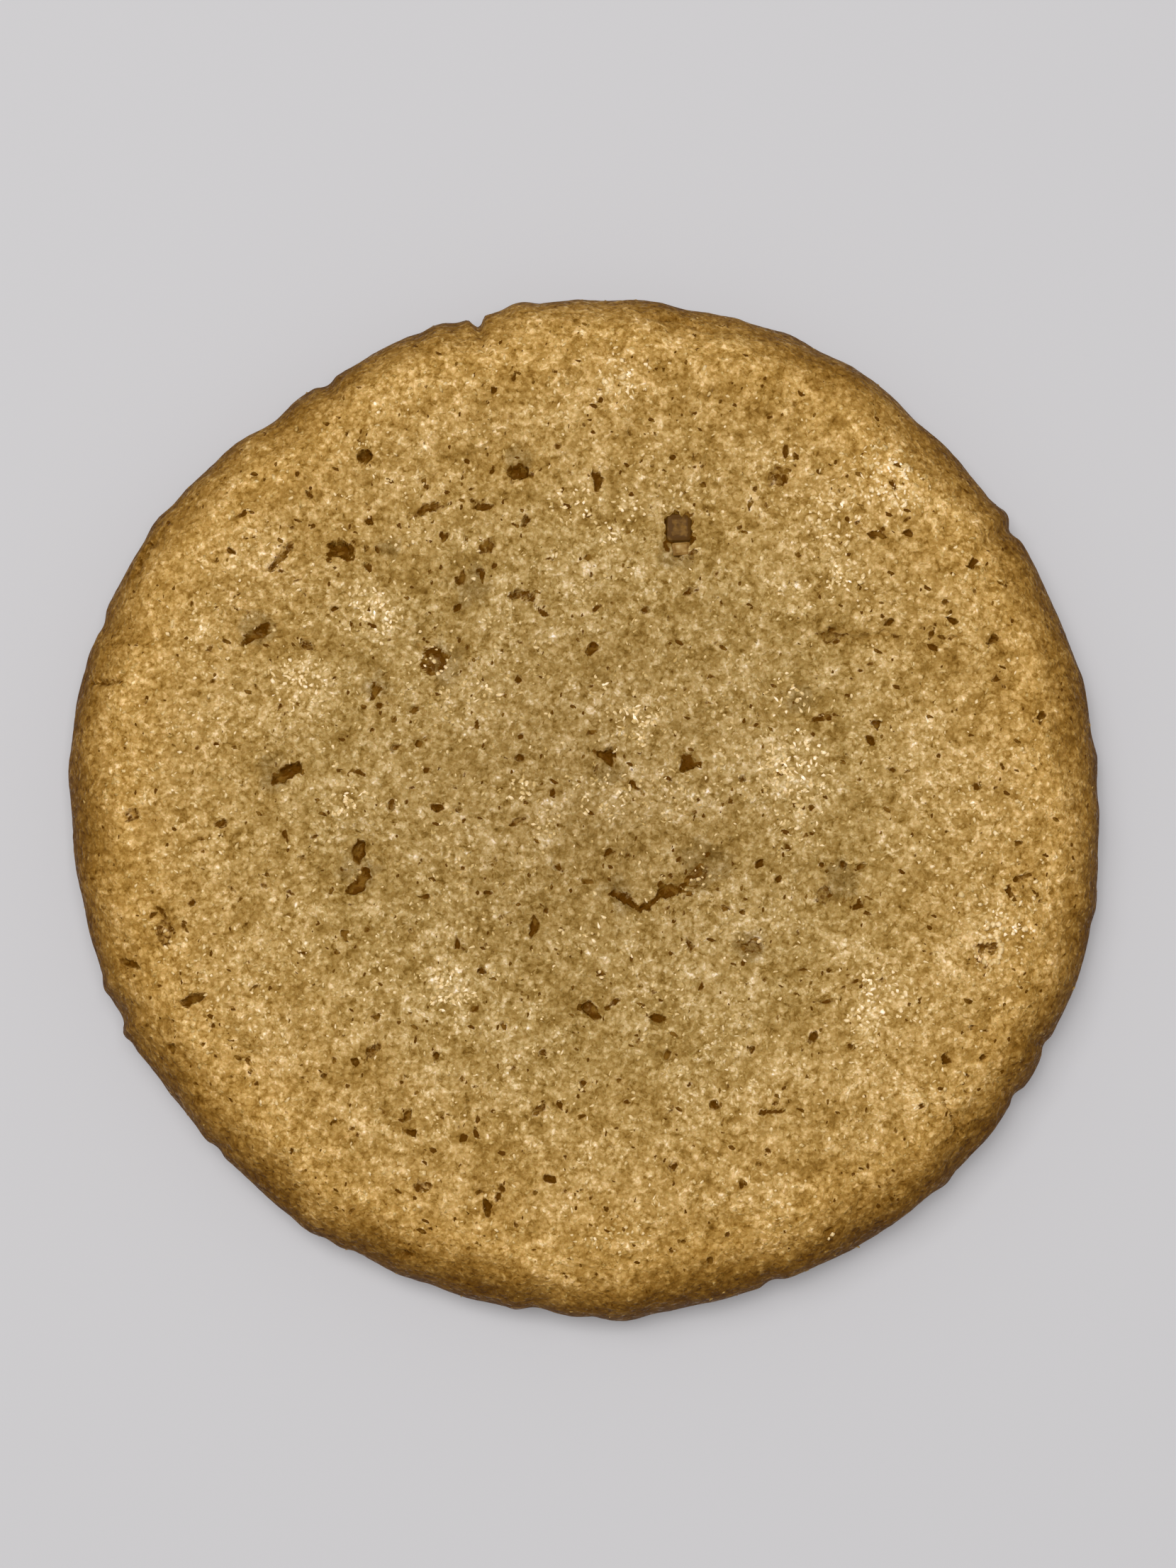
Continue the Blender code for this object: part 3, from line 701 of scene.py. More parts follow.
def section():
    """Half the cookie's upright section, from the middle of the top to the foot: radii, heights
    and how far along the section each lies."""
    shoulder_start = RADIUS - SHOULDER_RUN
    share = np.linspace(0, 1, SECTION_POINTS, endpoint=False)
    power = 2 / SHOULDER_POWER
    fall = top_height(shoulder_start) - BELLY_HEIGHT
    quarter = math.pi / 2 * share
    foot = math.pi / 2 * np.linspace(0, 1, SECTION_POINTS)
    radii = np.concatenate((
        shoulder_start * share,
        shoulder_start + SHOULDER_RUN * np.sin(quarter) ** power,
        RADIUS - BASE_INSET * (1 - np.cos(foot)),
    ))
    heights = np.concatenate((
        top_height(shoulder_start * share),
        BELLY_HEIGHT + fall * np.cos(quarter) ** power,
        BELLY_HEIGHT * (1 - np.sin(foot)),
    ))
    steps = np.hypot(np.diff(radii), np.diff(heights))
    return radii, heights, np.concatenate(((0,), np.cumsum(steps)))


def square_to_disc(points):
    """Turns places on a square sheet, from -1 to 1, into ring shares and bearings on a disc."""
    u, v = points[:, 0], points[:, 1]
    ring = np.maximum(np.abs(u), np.abs(v))
    wide = np.abs(u) >= np.abs(v)
    safe_u = np.where(wide & (u != 0), u, 1.0)
    safe_v = np.where(~wide, v, 1.0)
    across = math.pi / 4 * (v / safe_u) + np.where(u < 0, math.pi, 0.0)
    along = math.pi / 2 - math.pi / 4 * (u / safe_v) + np.where(v < 0, math.pi, 0.0)
    return ring, np.where(wide, across, along)


def outline_share(bearing):
    share = np.ones_like(bearing)
    for lobes, height, lobe_bearing in OUTLINE_LOBES:
        share += height * np.cos(lobes * (bearing - math.radians(lobe_bearing)))
    return share


def round_sheet(squares):
    """A square sheet cut into squares, with each point's ring share and bearing on a disc."""
    bpy.ops.object.select_all(action="DESELECT")
    bpy.ops.mesh.primitive_grid_add(x_subdivisions=squares, y_subdivisions=squares, size=2)
    sheet = bpy.context.active_object
    return (sheet, *square_to_disc(read_points(sheet.data)))


def lay_out(sheet, out, bearing, up):
    write_points(sheet.data, np.stack((out * np.cos(bearing), out * np.sin(bearing), up), 1))


def crust_sheets():
    """Two square sheets, bridged at their edges: a fine one, let down over the top and the side,
    and a coarse one under the base."""
    radii, heights, reached = section()
    top, ring, bearing = round_sheet(TOP_SQUARES)
    out = np.interp(ring * reached[-1], reached, radii)
    up = np.interp(ring * reached[-1], reached, heights)
    lay_out(top, out, bearing, up)
    base, ring, bearing = round_sheet(BASE_SQUARES)
    out = ring * (RADIUS - BASE_INSET) * (1 - 1 / BASE_SQUARES)
    lay_out(base, out, bearing, 0 * out)
    base.data.flip_normals()
    crust = joined("cookie_crust", top, base)
    enter("EDIT")
    drop_selection("EDGE")
    bpy.ops.mesh.select_non_manifold()
    bpy.ops.mesh.bridge_edge_loops()
    enter("OBJECT")
    return crust


def dent_depth(x, y):
    depth = np.zeros_like(x)
    for *spot, deepest in BROAD_DENTS:
        depth += deepest * nearness(x, y, *spot) ** 2
    return depth


def let_out(points, normals):
    """Gives the plain form its uneven outline, the swells and dents of its top and its lumps."""
    x, y, z = points.T
    share = outline_share(np.arctan2(y, x))
    moved = np.stack((x * share, y * share, z), 1)
    on_top = smooth_step(BELLY_HEIGHT, THICKNESS, z)
    above_foot = smooth_step(0, BELLY_HEIGHT, z)
    swell = SWELL_HEIGHT * noise_at(moved, SWELL_SIZE, 2)
    lump = LUMP_HEIGHT * noise_at(moved, LUMP_SIZE)
    moved[:, 2] += (swell - dent_depth(moved[:, 0], moved[:, 1])) * on_top
    moved += normals * (lump * above_foot)[:, None]
    return moved


def centred(points):
    """Moves the form as its solid was moved: the middle of its outline's box to the origin."""
    middle = (points.min(0) + points.max(0)) / 2
    return points - (middle[0], middle[1], 0), middle


# ---- The crust's hollows ----
def as_read(points):
    """Where each point is seen from the camera against the plane of the cookie's outline, which
    is how the tables of pits, grooves and patches give a place."""
    eye_x, eye_y, eye_z = CAMERA_PLACE
    share = (eye_z - BELLY_HEIGHT) / (eye_z - points[:, 2])
    x = eye_x + (points[:, 0] - eye_x) * share - READING_SHIFT[0]
    y = eye_y + (points[:, 1] - eye_y) * share - READING_SHIFT[1]
    return x, y


def patch_tone(x, y):
    tone = np.zeros_like(x)
    for *spot, strength in PATCHES:
        tone += strength * nearness(x, y, *spot)
    return tone


def strew_pores(dice):
    """Random small pits over the top, written as the table of pits is."""
    tries = 4 * PORES
    bearing = dice.uniform(0, 2 * math.pi, tries)
    radius = PORE_REACH * RADIUS * np.sqrt(dice.random(tries))
    x, y = radius * np.cos(bearing), radius * np.sin(bearing)
    wanted = PORE_CHANCE - SUNK_PORE_CHANCE * patch_tone(x, y) > dice.random(tries)
    x, y = x[wanted][:PORES], y[wanted][:PORES]
    low, high = PORE_LENGTHS
    length = low + (high - low) * dice.random(len(x)) ** 2
    width = length * dice.uniform(*PORE_WIDTH_SHARES, len(x))
    return list(zip(x, y, length, width, dice.uniform(0, 180, len(x))))


def hollow_sides(dice, fewest, most):
    """The directions that the sides of one hollow face, at uneven angles and distances, so that
    it covers about as much as a round one."""
    sides = dice.integers(fewest, most + 1)
    uneven = dice.uniform(-SIDE_UNEVENNESS, SIDE_UNEVENNESS, sides)
    turns = 2 * math.pi * (np.arange(sides) + uneven) / sides
    distance = math.sqrt(math.pi / (sides * math.tan(math.pi / sides)))
    distances = distance * dice.uniform(*SIDE_DISTANCES, (sides, 1))
    return np.stack((np.cos(turns), np.sin(turns)), 1) / distances


def all_hollows(dice):
    """Every hollow as a pit is written, with the directions that its sides face, how deep it is,
    how brown its walls are painted, with painted shade, and how much of that its floor has."""
    rows = []
    for x, y, length, width, bearing, _, _, brown in COARSE_SUGAR:
        roomy = (x, y, HOLLOW_ROOM * length, HOLLOW_ROOM * width, bearing)
        rows.append((roomy, SQUARE_SIDES, CRYSTAL_DEPTH, brown, 1.0))
    for *spot, brown in MELTED_SPOTS:
        rows.append((spot, hollow_sides(dice, *MELTED_SIDES), MELTED_DEPTH, brown, MELTED_FLOOR))
    for pit in list(PITS) + strew_pores(dice):
        width = pit[3]
        sides = hollow_sides(dice, *PIT_SIDES)
        deepest = min(PIT_MOST_DEPTH, PIT_DEPTH_SHARE * width)
        brown = max(dice.uniform(*PIT_BROWNING_AND_SHADE), smooth_step(*DARK_WIDTHS, width))
        floor_share = 1 - FLOOR_PALENESS * smooth_step(*PALE_FLOOR_WIDTHS, width)
        rows.append((pit, sides, deepest, brown, floor_share))
    return rows


def hollow_closeness(x, y, hollow, sides):
    """1 in the middle of a hollow, 0 at its lip, less outside."""
    hollow_x, hollow_y, length, width, bearing = hollow
    cos, sin = math.cos(math.radians(bearing)), math.sin(math.radians(bearing))
    along = ((x - hollow_x) * cos + (y - hollow_y) * sin) / (length / 2)
    across = ((y - hollow_y) * cos - (x - hollow_x) * sin) / (width / 2)
    facing = np.max([nx * along + ny * across for nx, ny in sides], axis=0)
    return 1 - (1 - HOLLOW_ROUNDNESS) * facing - HOLLOW_ROUNDNESS * np.hypot(along, across)


def groove_distance(x, y, stations):
    """How far each place lies from a groove's line, and how far along the line, from 0 to 1."""
    nearest = np.full_like(x, np.inf)
    along = np.zeros_like(x)
    runs = len(stations) - 1
    for i, ((ax, ay), (bx, by)) in enumerate(zip(stations, stations[1:])):
        length_squared = (bx - ax) ** 2 + (by - ay) ** 2
        share = np.clip(((x - ax) * (bx - ax) + (y - ay) * (by - ay)) / length_squared, 0, 1)
        away = np.hypot(x - ax - share * (bx - ax), y - ay - share * (by - ay))
        closer = away < nearest
        nearest[closer] = away[closer]
        along[closer] = ((i + share) / runs)[closer]
    return nearest, along


def refine_near_hollows(crust, hollows):
    """Cuts the crust's squares in four wherever a hollow or a groove needs a finer mesh."""
    centres = read_vectors(crust.data.polygons, "center")
    x, y = as_read(centres)
    near = np.zeros(len(x), bool)
    for (hollow_x, hollow_y, length, width, _), *_ in hollows:
        near |= np.hypot(x - hollow_x, y - hollow_y) < max(length, width) / 2 + FINE_MARGIN
    for stations, half_width, _ in GROOVES:
        away, _ = groove_distance(x, y, stations)
        near |= away < half_width + FINE_MARGIN
    near &= centres[:, 2] > BELLY_HEIGHT
    select_only(crust)
    enter("EDIT")
    drop_selection("FACE")
    enter("OBJECT")
    crust.data.polygons.foreach_set("select", near)
    enter("EDIT")
    bpy.ops.mesh.subdivide(number_cuts=1)
    enter("OBJECT")


def hollow_depths(points, hollows):
    """How deep the hollows and grooves lie at each point, and how brown they are painted there,
    browning with painted shade, from 0 to about 1."""
    x, y = as_read(points)
    depth = np.zeros(len(points))
    browned_and_shaded = np.zeros(len(points))
    on_top = points[:, 2] > BELLY_HEIGHT
    rag = np.zeros(len(points))
    rag[on_top] = noise_at(points[on_top], PIT_RAG_SIZE, 2)
    share, margin = HOLLOW_SEARCH
    for hollow, sides, deepest, brown, floor_share in hollows:
        hollow_x, hollow_y, length, width, _ = hollow
        near = on_top & (np.hypot(x - hollow_x, y - hollow_y) < share * length + margin)
        inside = hollow_closeness(x[near], y[near], hollow, sides) + PIT_RAGGEDNESS * rag[near]
        depth[near] = np.maximum(depth[near], deepest * smooth_step(0, PIT_WALL, inside))
        in_lip = smooth_step(*LIP_BLUR, inside * width / 2)
        floor_tone = 1 - (1 - floor_share) * smooth_step(*FLOOR_START, inside)
        browned_and_shaded[near] = np.maximum(browned_and_shaded[near], brown * in_lip * floor_tone)
    for stations, half_width, deepest in GROOVES:
        away, along = groove_distance(x, y, stations)
        taper = GROOVE_END + (1 - GROOVE_END) * np.sin(math.pi * along) ** GROOVE_SWELL
        inside = 1 - away / (half_width * taper) + 2 * PIT_RAGGEDNESS * rag
        depth = np.maximum(depth, deepest * taper * smooth_step(0, GROOVE_WALL, inside))
        # a groove is painted darker the deeper it lies: browning with painted shade
        brown = min(1, GROOVE_BROWNING_AND_SHADE * deepest)
        browned_and_shaded = np.maximum(browned_and_shaded, brown * smooth_step(*GROOVE_LIP, inside))
    floor = 1 - PIT_FLOOR_RELIEF * (0.5 + noise_at(points, PIT_FLOOR_SIZE) * (depth > 0))
    return depth * floor * on_top, browned_and_shaded * on_top


# ---- The crust's edge, crumb and tone ----
def nick_height(bearing):
    """How far the small nicks and bulges move the edge out."""
    degrees = np.degrees(bearing)
    height = np.zeros_like(bearing)
    for nick_bearing, reach, stands_out in EDGE_NICKS:
        away = np.abs((degrees - nick_bearing + 180) % 360 - 180) / reach
        height += stands_out * np.clip(1 - away * away, 0, 1) ** 2
    return height


def rim_browning_and_shade(bearing):
    """How far inward the rim's brown reaches at each bearing: browning, and painted shade away from
    the lamps.
    """
    bearings, browning = zip(*RIM_BROWNING_AND_SHADE)
    return np.interp(np.degrees(bearing), bearings, browning, period=360)


def crumb_relief(points):
    """Height of the crumb: rounded lumps that meet in sharp creases, in three sizes."""
    relief = np.zeros(len(points))
    for size, height in CRUMB_LAYERS:
        relief += height * (2 * np.abs(noise_at(points, size)) - CRUMB_MIDDLE)
    return relief


def crust_tone(points):
    """From about -1, sunk and browner, to 1, raised and paler: partly the crust's own tone, partly
    painted light and shade.
    """
    tone = patch_tone(*as_read(points))
    for size, share in TONE_LAYERS:
        tone += share * noise_at(points + TONE_SHIFT, size)
    return tone


def moistness(points):
    """1 where the dough stayed greyest, with ragged borders, to 0 where it is plain crust."""
    moist = nearness_to_any(*as_read(points), MOIST_SPOTS)
    near = moist > 0
    rag = MOIST_RAGGEDNESS * noise_at(points[near], MOIST_RAG_SIZE, 2)
    moist[near] = smooth_step(*MOIST_BORDER, moist[near] + rag)
    return moist * near


def make_crust(dice):
    """The crust, and what each of its points is like, by name."""
    crust = crust_sheets()
    hollows = all_hollows(dice)
    mesh = crust.data
    points, shift = centred(let_out(read_points(mesh), read_normals(mesh)))
    write_points(mesh, points)
    refine_near_hollows(crust, hollows)
    points = read_points(mesh)
    normals = read_normals(mesh)
    bearing = np.arctan2(points[:, 1] + shift[1], points[:, 0] + shift[0])
    outward = np.stack((np.cos(bearing), np.sin(bearing)), 1)
    radius = np.hypot(points[:, 0] + shift[0], points[:, 1] + shift[1])
    rim = radius / (RADIUS * outline_share(bearing))
    on_edge = smooth_step(*NICK_RIM, rim) * smooth_step(NICK_FOOT, BELLY_HEIGHT, points[:, 2])
    points[:, :2] += outward * (nick_height(bearing) * on_edge)[:, None]
    above_foot = smooth_step(*RELIEF_FOOT, points[:, 2])
    uneven = above_foot > 0
    relief = np.zeros(len(points))
    tone = np.zeros(len(points))
    relief[uneven] = crumb_relief(points[uneven])
    tone[uneven] = crust_tone(points[uneven])
    roughness = above_foot * (1 - RIM_SMOOTHNESS * smooth_step(*SMOOTH_RIM, rim))
    hollow, browned_and_shaded = hollow_depths(points, hollows)
    raised = relief + TONE_HEIGHT * tone - RELIEF_SINK
    points += normals * (raised * roughness - hollow)[:, None]
    points[:, 2] = np.maximum(points[:, 2], 0)
    write_points(mesh, points * MM)
    side = smooth_step(SIDE_BROWNING_TOP, 0, points[:, 2])
    skin = {
        # the rim's share carries its brown by bearing: browning, and painted shade away from the
        # lamps
        "rim": rim + rim_browning_and_shade(bearing) * smooth_step(*BROWNED_RIM, rim),
        "side": np.where(rim > SIDE_RIM, side, 0),
        "hollow": hollow,
        # the hollows' brown: browning with painted shade
        "browned_and_shaded": browned_and_shaded,
        "crumb": relief * roughness,
        "tone": tone * roughness,
        "moist": moistness(points),
    }
    for name, values in skin.items():
        write_attribute(mesh, name, values)
    mesh.shade_smooth()
    mesh.materials.append(crust_material())
    return crust, skin


# ---- Materials: building blocks ----
def new_material(name):
    material = bpy.data.materials.new(name)
    material.use_nodes = True
    tree = material.node_tree
    return material, tree, tree.nodes["Principled BSDF"]


def plug(tree, value, socket):
    """Gives a socket a number, a plain vector or (r, g, b), or what another socket gives."""
    if isinstance(value, tuple) and socket.type == "RGBA":
        value = (*value, 1.0)
    if isinstance(value, (int, float, tuple)):
        socket.default_value = value
    else:
        tree.links.new(value, socket)


def add_node(tree, kind, inputs, **settings):
    """A shader node with its settings, and its inputs by name or number."""
    node = tree.nodes.new("ShaderNode" + kind)
    for setting, value in settings.items():
        setattr(node, setting, value)
    for socket, value in inputs.items():
        plug(tree, value, node.inputs[socket])
    return node


def attribute(tree, name):
    return add_node(tree, "Attribute", {}, attribute_name=name).outputs["Fac"]


def math_node(tree, operation, *values):
    return add_node(tree, "Math", dict(enumerate(values)), operation=operation).outputs["Value"]


def vector_node(tree, operation, *values):
    node = add_node(tree, "VectorMath", dict(enumerate(values)), operation=operation)
    return node.outputs["Value" if operation == "DOT_PRODUCT" else "Vector"]


def scaled(tree, value, factor, middle=0.5):
    return math_node(tree, "MULTIPLY", math_node(tree, "SUBTRACT", value, middle), factor)


def summed(tree, values):
    total = values[0]
    for value in values[1:]:
        total = math_node(tree, "ADD", total, value)
    return total


def stretch(tree, value, low, high, to_low=0.0, to_high=1.0):
    """Maps low..high to to_low..to_high, held at both ends."""
    span = {"From Min": low, "From Max": high, "To Min": to_low, "To Max": to_high}
    node = add_node(tree, "MapRange", {"Value": value, **span}, interpolation_type="SMOOTHSTEP")
    return node.outputs["Result"]


def mixed(tree, share, first, second, blend="MIX"):
    """Two colours mixed. Each is a socket or a plain (r, g, b)."""
    inputs = {0: share, 6: first, 7: second}  # by number, because its other types share their names
    return add_node(tree, "Mix", inputs, data_type="RGBA", blend_type=blend).outputs[2]


def colour_ramp(tree, value, stops):
    node = add_node(tree, "ValToRGB", {"Fac": value})
    elements = node.color_ramp.elements
    while len(elements) < len(stops):
        elements.new(1.0)
    for element, (position, colour) in zip(elements, stops):
        element.position = position
        element.color = (*colour, 1.0)
    return node.outputs["Color"]


def channel(tree, colour, name):
    return add_node(tree, "SeparateColor", {"Color": colour}).outputs[name]


def tinted(tree, colour, shade):
    """A colour made lighter (shade above 0) or darker and redder (below 0)."""
    logs = [math_node(tree, "MULTIPLY", shade, power) for power in TINT_POWERS]
    tints = [math_node(tree, "EXPONENT", log) for log in logs]
    tint = add_node(tree, "CombineColor", dict(enumerate(tints)))
    return mixed(tree, 1.0, colour, tint.outputs["Color"], "MULTIPLY")


def bumped(tree, height, depth, strength):
    inputs = {"Height": height, "Distance": depth, "Strength": strength}
    return add_node(tree, "Bump", inputs).outputs["Normal"]


def mapped(tree, place, **settings):
    """A place turned or stretched: Rotation is in radians."""
    return add_node(tree, "Mapping", {"Vector": place, **settings}).outputs["Vector"]


def millimetre_coordinates(tree):
    """Object coordinates, scaled so that 1 is a millimetre."""
    coordinates = add_node(tree, "TexCoord", {})
    return mapped(tree, coordinates.outputs["Object"], Scale=(1 / MM, 1 / MM, 1 / MM))


def turned(tree, place, degrees, stretched):
    """A place turned, and then stretched along the turned axes."""
    angles = tuple(math.radians(angle) for angle in degrees)
    return mapped(tree, mapped(tree, place, Rotation=angles), Scale=stretched)


def noise_layer(tree, place, size, detail=2.0, roughness=0.5, distortion=0.0):
    inputs = {"Detail": detail, "Roughness": roughness, "Distortion": distortion}
    return add_node(tree, "TexNoise", {"Vector": place, "Scale": 1 / size, **inputs}).outputs


def warped_by(tree, place, size, reach):
    """A place moved about by noise, so that what is drawn there gets ragged edges."""
    colour = noise_layer(tree, place, size)["Color"]
    centred_noise = vector_node(tree, "SUBTRACT", colour, (0.5, 0.5, 0.5))
    shift = vector_node(tree, "MULTIPLY", centred_noise, (reach, reach, reach))
    return vector_node(tree, "ADD", place, shift)


def cell_layer(tree, place, size):
    return add_node(tree, "TexVoronoi", {"Vector": place, "Scale": 1 / size}).outputs


# ---- Materials: the crust and the sugar ----
def facet_layer(tree, place, size):
    """Grains packed side by side: the height of their tilted faces, a random number each, and how
    far each place lies from its grain's middle."""
    warp = [share * size for share in FACET_WARP]
    cells = cell_layer(tree, warped_by(tree, place, *warp), size)
    tilt = vector_node(tree, "SUBTRACT", cells["Color"], (0.5, 0.5, 0.5))
    away = vector_node(tree, "SUBTRACT", place, cells["Position"])
    height = vector_node(tree, "DOT_PRODUCT", tilt, away)
    return height, channel(tree, cells["Color"], "Red"), cells["Distance"]


def fleck_layer(tree, place):
    """Short streaks that lie every way, as sugar crystals baked into the crust do."""
    layers = []
    for turn in FLECK_TURNS:
        along = turned(tree, place, (0, 0, turn), FLECK_STRETCH)
        layers.append(noise_layer(tree, along, size=1.0, detail=1.0, roughness=0.4)["Fac"])
    first, second, third = layers
    return math_node(tree, "MAXIMUM", math_node(tree, "MAXIMUM", first, second), third)


def slit_layer(tree, place, turn, spacing, radius):
    """Dark slits of many sizes, in most of the cells, painted brown with painted shade: 1 inside, 0
    outside.
    """
    place = turned(tree, place, turn, SLIT_STRETCH)
    warp = [share * radius for share in SLIT_WARP]
    cells = cell_layer(tree, warped_by(tree, place, *warp), spacing)
    chance = channel(tree, cells["Color"], "Green")
    reach = stretch(tree, chance, *SLIT_CHANCES, 0.0, SLIT_REACH * radius / spacing)
    inside = math_node(tree, "SUBTRACT", reach, cells["Distance"])
    return stretch(tree, inside, 0.0, SLIT_EDGE * radius / spacing)


def crust_material():
    material, tree, shader = new_material("baked_crust")
    place = millimetre_coordinates(tree)
    patches = noise_layer(tree, place, size=6.0, detail=3.0, roughness=0.6)["Fac"]
    wander = stretch(tree, patches, *BAKING_WANDER)
    baked = math_node(tree, "ADD", attribute(tree, "rim"), wander)
    colour = colour_ramp(tree, baked, CRUST_STOPS)
    moist = scaled(tree, attribute(tree, "moist"), MOIST_SHARE, 0.0)
    colour = mixed(tree, moist, colour, MOIST_DOUGH)
    colour = mixed(tree, attribute(tree, "side"), colour, FOOT_BROWN)

    clouds = [noise_layer(tree, place, *settings)["Fac"] for *settings, _ in CRUST_CLOUDS]
    _, coarse, medium, fine, _ = clouds
    shades = [scaled(tree, cloud, row[-1]) for cloud, row in zip(clouds, CRUST_CLOUDS)]
    facets, grain, from_middle = facet_layer(tree, place, FACET_SIZE)
    flecks = fleck_layer(tree, place)
    slits = math_node(tree, "MAXIMUM", *[slit_layer(tree, place, *lie) for lie in SLITS])
    sunk = math_node(tree, "ADD", attribute(tree, "tone"), scaled(tree, coarse, COARSE_IN_TONE))
    # pale flecks: sugar in the crust, partly painted glints, fainter where the crust is sunk
    pale_flecks_and_glints = math_node(
        tree, "MULTIPLY",
        stretch(tree, flecks, *FLECK_SHADE),
        stretch(tree, sunk, *FLECKS_ON_SUNK),
    )
    shade = summed(tree, shades + [
        scaled(tree, grain, GRAIN_SHADE),
        # painted shade between the packed grains
        stretch(tree, from_middle, *GRAIN_EDGES),
        pale_flecks_and_glints,
        # painted shade in the creases of the fine bump
        stretch(tree, fine, *CREASE_SHADE),
        # paler where raised, darker where sunk: partly painted light and shade
        math_node(tree, "MULTIPLY", attribute(tree, "tone"), TONE_SHADE),
        # painted shade in the creases of the crumb's relief
        stretch(tree, attribute(tree, "crumb"), *CRUMB_SHADE),
    ])
    # hollows and slits are painted dark brown, browning with painted shade, with paler crumb here
    # and there
    uneven = math_node(tree, "ADD", attribute(tree, "browned_and_shaded"), scaled(tree, fine, BROWN_RAG))
    browned_and_shaded = math_node(tree, "MAXIMUM", stretch(tree, uneven, *BROWN_BORDER), slits)
    inside = mixed(tree, stretch(tree, medium, *PALE_CRUMB_BORDER), PIT_BROWN_AND_SHADE, PIT_CRUMB)
    colour = mixed(tree, browned_and_shaded, tinted(tree, colour, shade), inside)
    plug(tree, colour, shader.inputs["Base Color"])

    plug(tree, stretch(tree, flecks, *FLECK_GLOSS), shader.inputs["Roughness"])
    height = summed(tree, (
        scaled(tree, fine, FINE_HEIGHT),
        scaled(tree, medium, MEDIUM_HEIGHT),
        scaled(tree, facets, FACET_HEIGHT, 0.0),
        stretch(tree, flecks, *FLECK_HEIGHT),
        math_node(tree, "MULTIPLY", slits, SLIT_HEIGHT),
    ))
    plug(tree, bumped(tree, height, depth=0.3 * MM, strength=0.8), shader.inputs["Normal"])
    shader.inputs["Specular IOR Level"].default_value = 0.04
    shader.inputs["Subsurface Weight"].default_value = 0.20
    shader.inputs["Subsurface Radius"].default_value = (1.0, 0.5, 0.2)
    shader.inputs["Subsurface Scale"].default_value = 0.5 * MM
    return material


def sugar_material():
    """Fine sugar, baked into the crust until it is honey coloured."""
    material, tree, shader = new_material("fine_sugar")
    place = millimetre_coordinates(tree)
    cloud = scaled(tree, noise_layer(tree, place, size=0.3, detail=1.0)["Fac"], SUGAR_CLOUD)
    shade = math_node(tree, "ADD", attribute(tree, "lot"), cloud)
    plug(tree, tinted(tree, FINE_SUGAR_HONEY, shade), shader.inputs["Base Color"])
    shader.inputs["Roughness"].default_value = 0.32
    shader.inputs["Specular IOR Level"].default_value = 0.2
    shader.inputs["Specular Tint"].default_value = (1.0, 0.84, 0.55, 1.0)
    return material


def coarse_sugar_material():
    """Half-melted sugar, brown at its edges and clouded inside."""
    material, tree, shader = new_material("half_melted_sugar")
    place = millimetre_coordinates(tree)
    cloud = noise_layer(tree, place, size=0.55, detail=3.0, roughness=0.6)["Fac"]
    shade = math_node(tree, "ADD", cloud, attribute(tree, "lot"))
    plug(tree, colour_ramp(tree, shade, COARSE_STOPS), shader.inputs["Base Color"])
    plug(tree, bumped(tree, cloud, depth=0.1 * MM, strength=0.4), shader.inputs["Normal"])
    shader.inputs["Roughness"].default_value = 0.5
    shader.inputs["Specular IOR Level"].default_value = 0.08
    return material


# ---- Grains ----
def crust_places(crust, count, weight, dice):
    """Random places on the crust, thicker where a point's weight is higher, the normals there, and
    the crust's point beside each place."""
    mesh = crust.data
    mesh.calc_loop_triangles()
    corners = np.empty(len(mesh.loop_triangles) * 3, np.int32)
    mesh.loop_triangles.foreach_get("vertices", corners)
    corners = corners.reshape(-1, 3)
    points = read_points(mesh)[corners]
    cross = np.cross(points[:, 1] - points[:, 0], points[:, 2] - points[:, 0])
    area = np.linalg.norm(cross, axis=1)
    normals = cross / np.maximum(area, 1e-15)[:, None]
    share = area * weight[corners].mean(1)
    picked = dice.choice(len(area), count, p=share / share.sum())
    a, b = dice.random((2, count))
    flip = a + b > 1
    a[flip], b[flip] = 1 - a[flip], 1 - b[flip]
    first, second, third = points[picked].transpose(1, 0, 2)
    places = first + a[:, None] * (second - first) + b[:, None] * (third - first)
    return places, normals[picked], corners[picked, 0]


def lying_turns(normals, dice):
    """Turns that lay grains flat on the crust, spun at random and tipped a little."""
    count = len(normals)
    up = normals + GRAIN_TIP * dice.normal(size=(count, 3))
    up /= np.linalg.norm(up, axis=1)[:, None]
    along = np.cross(up, dice.normal(size=(count, 3)))
    along /= np.linalg.norm(along, axis=1)[:, None]
    return np.stack((along, np.cross(up, along), up), 2)


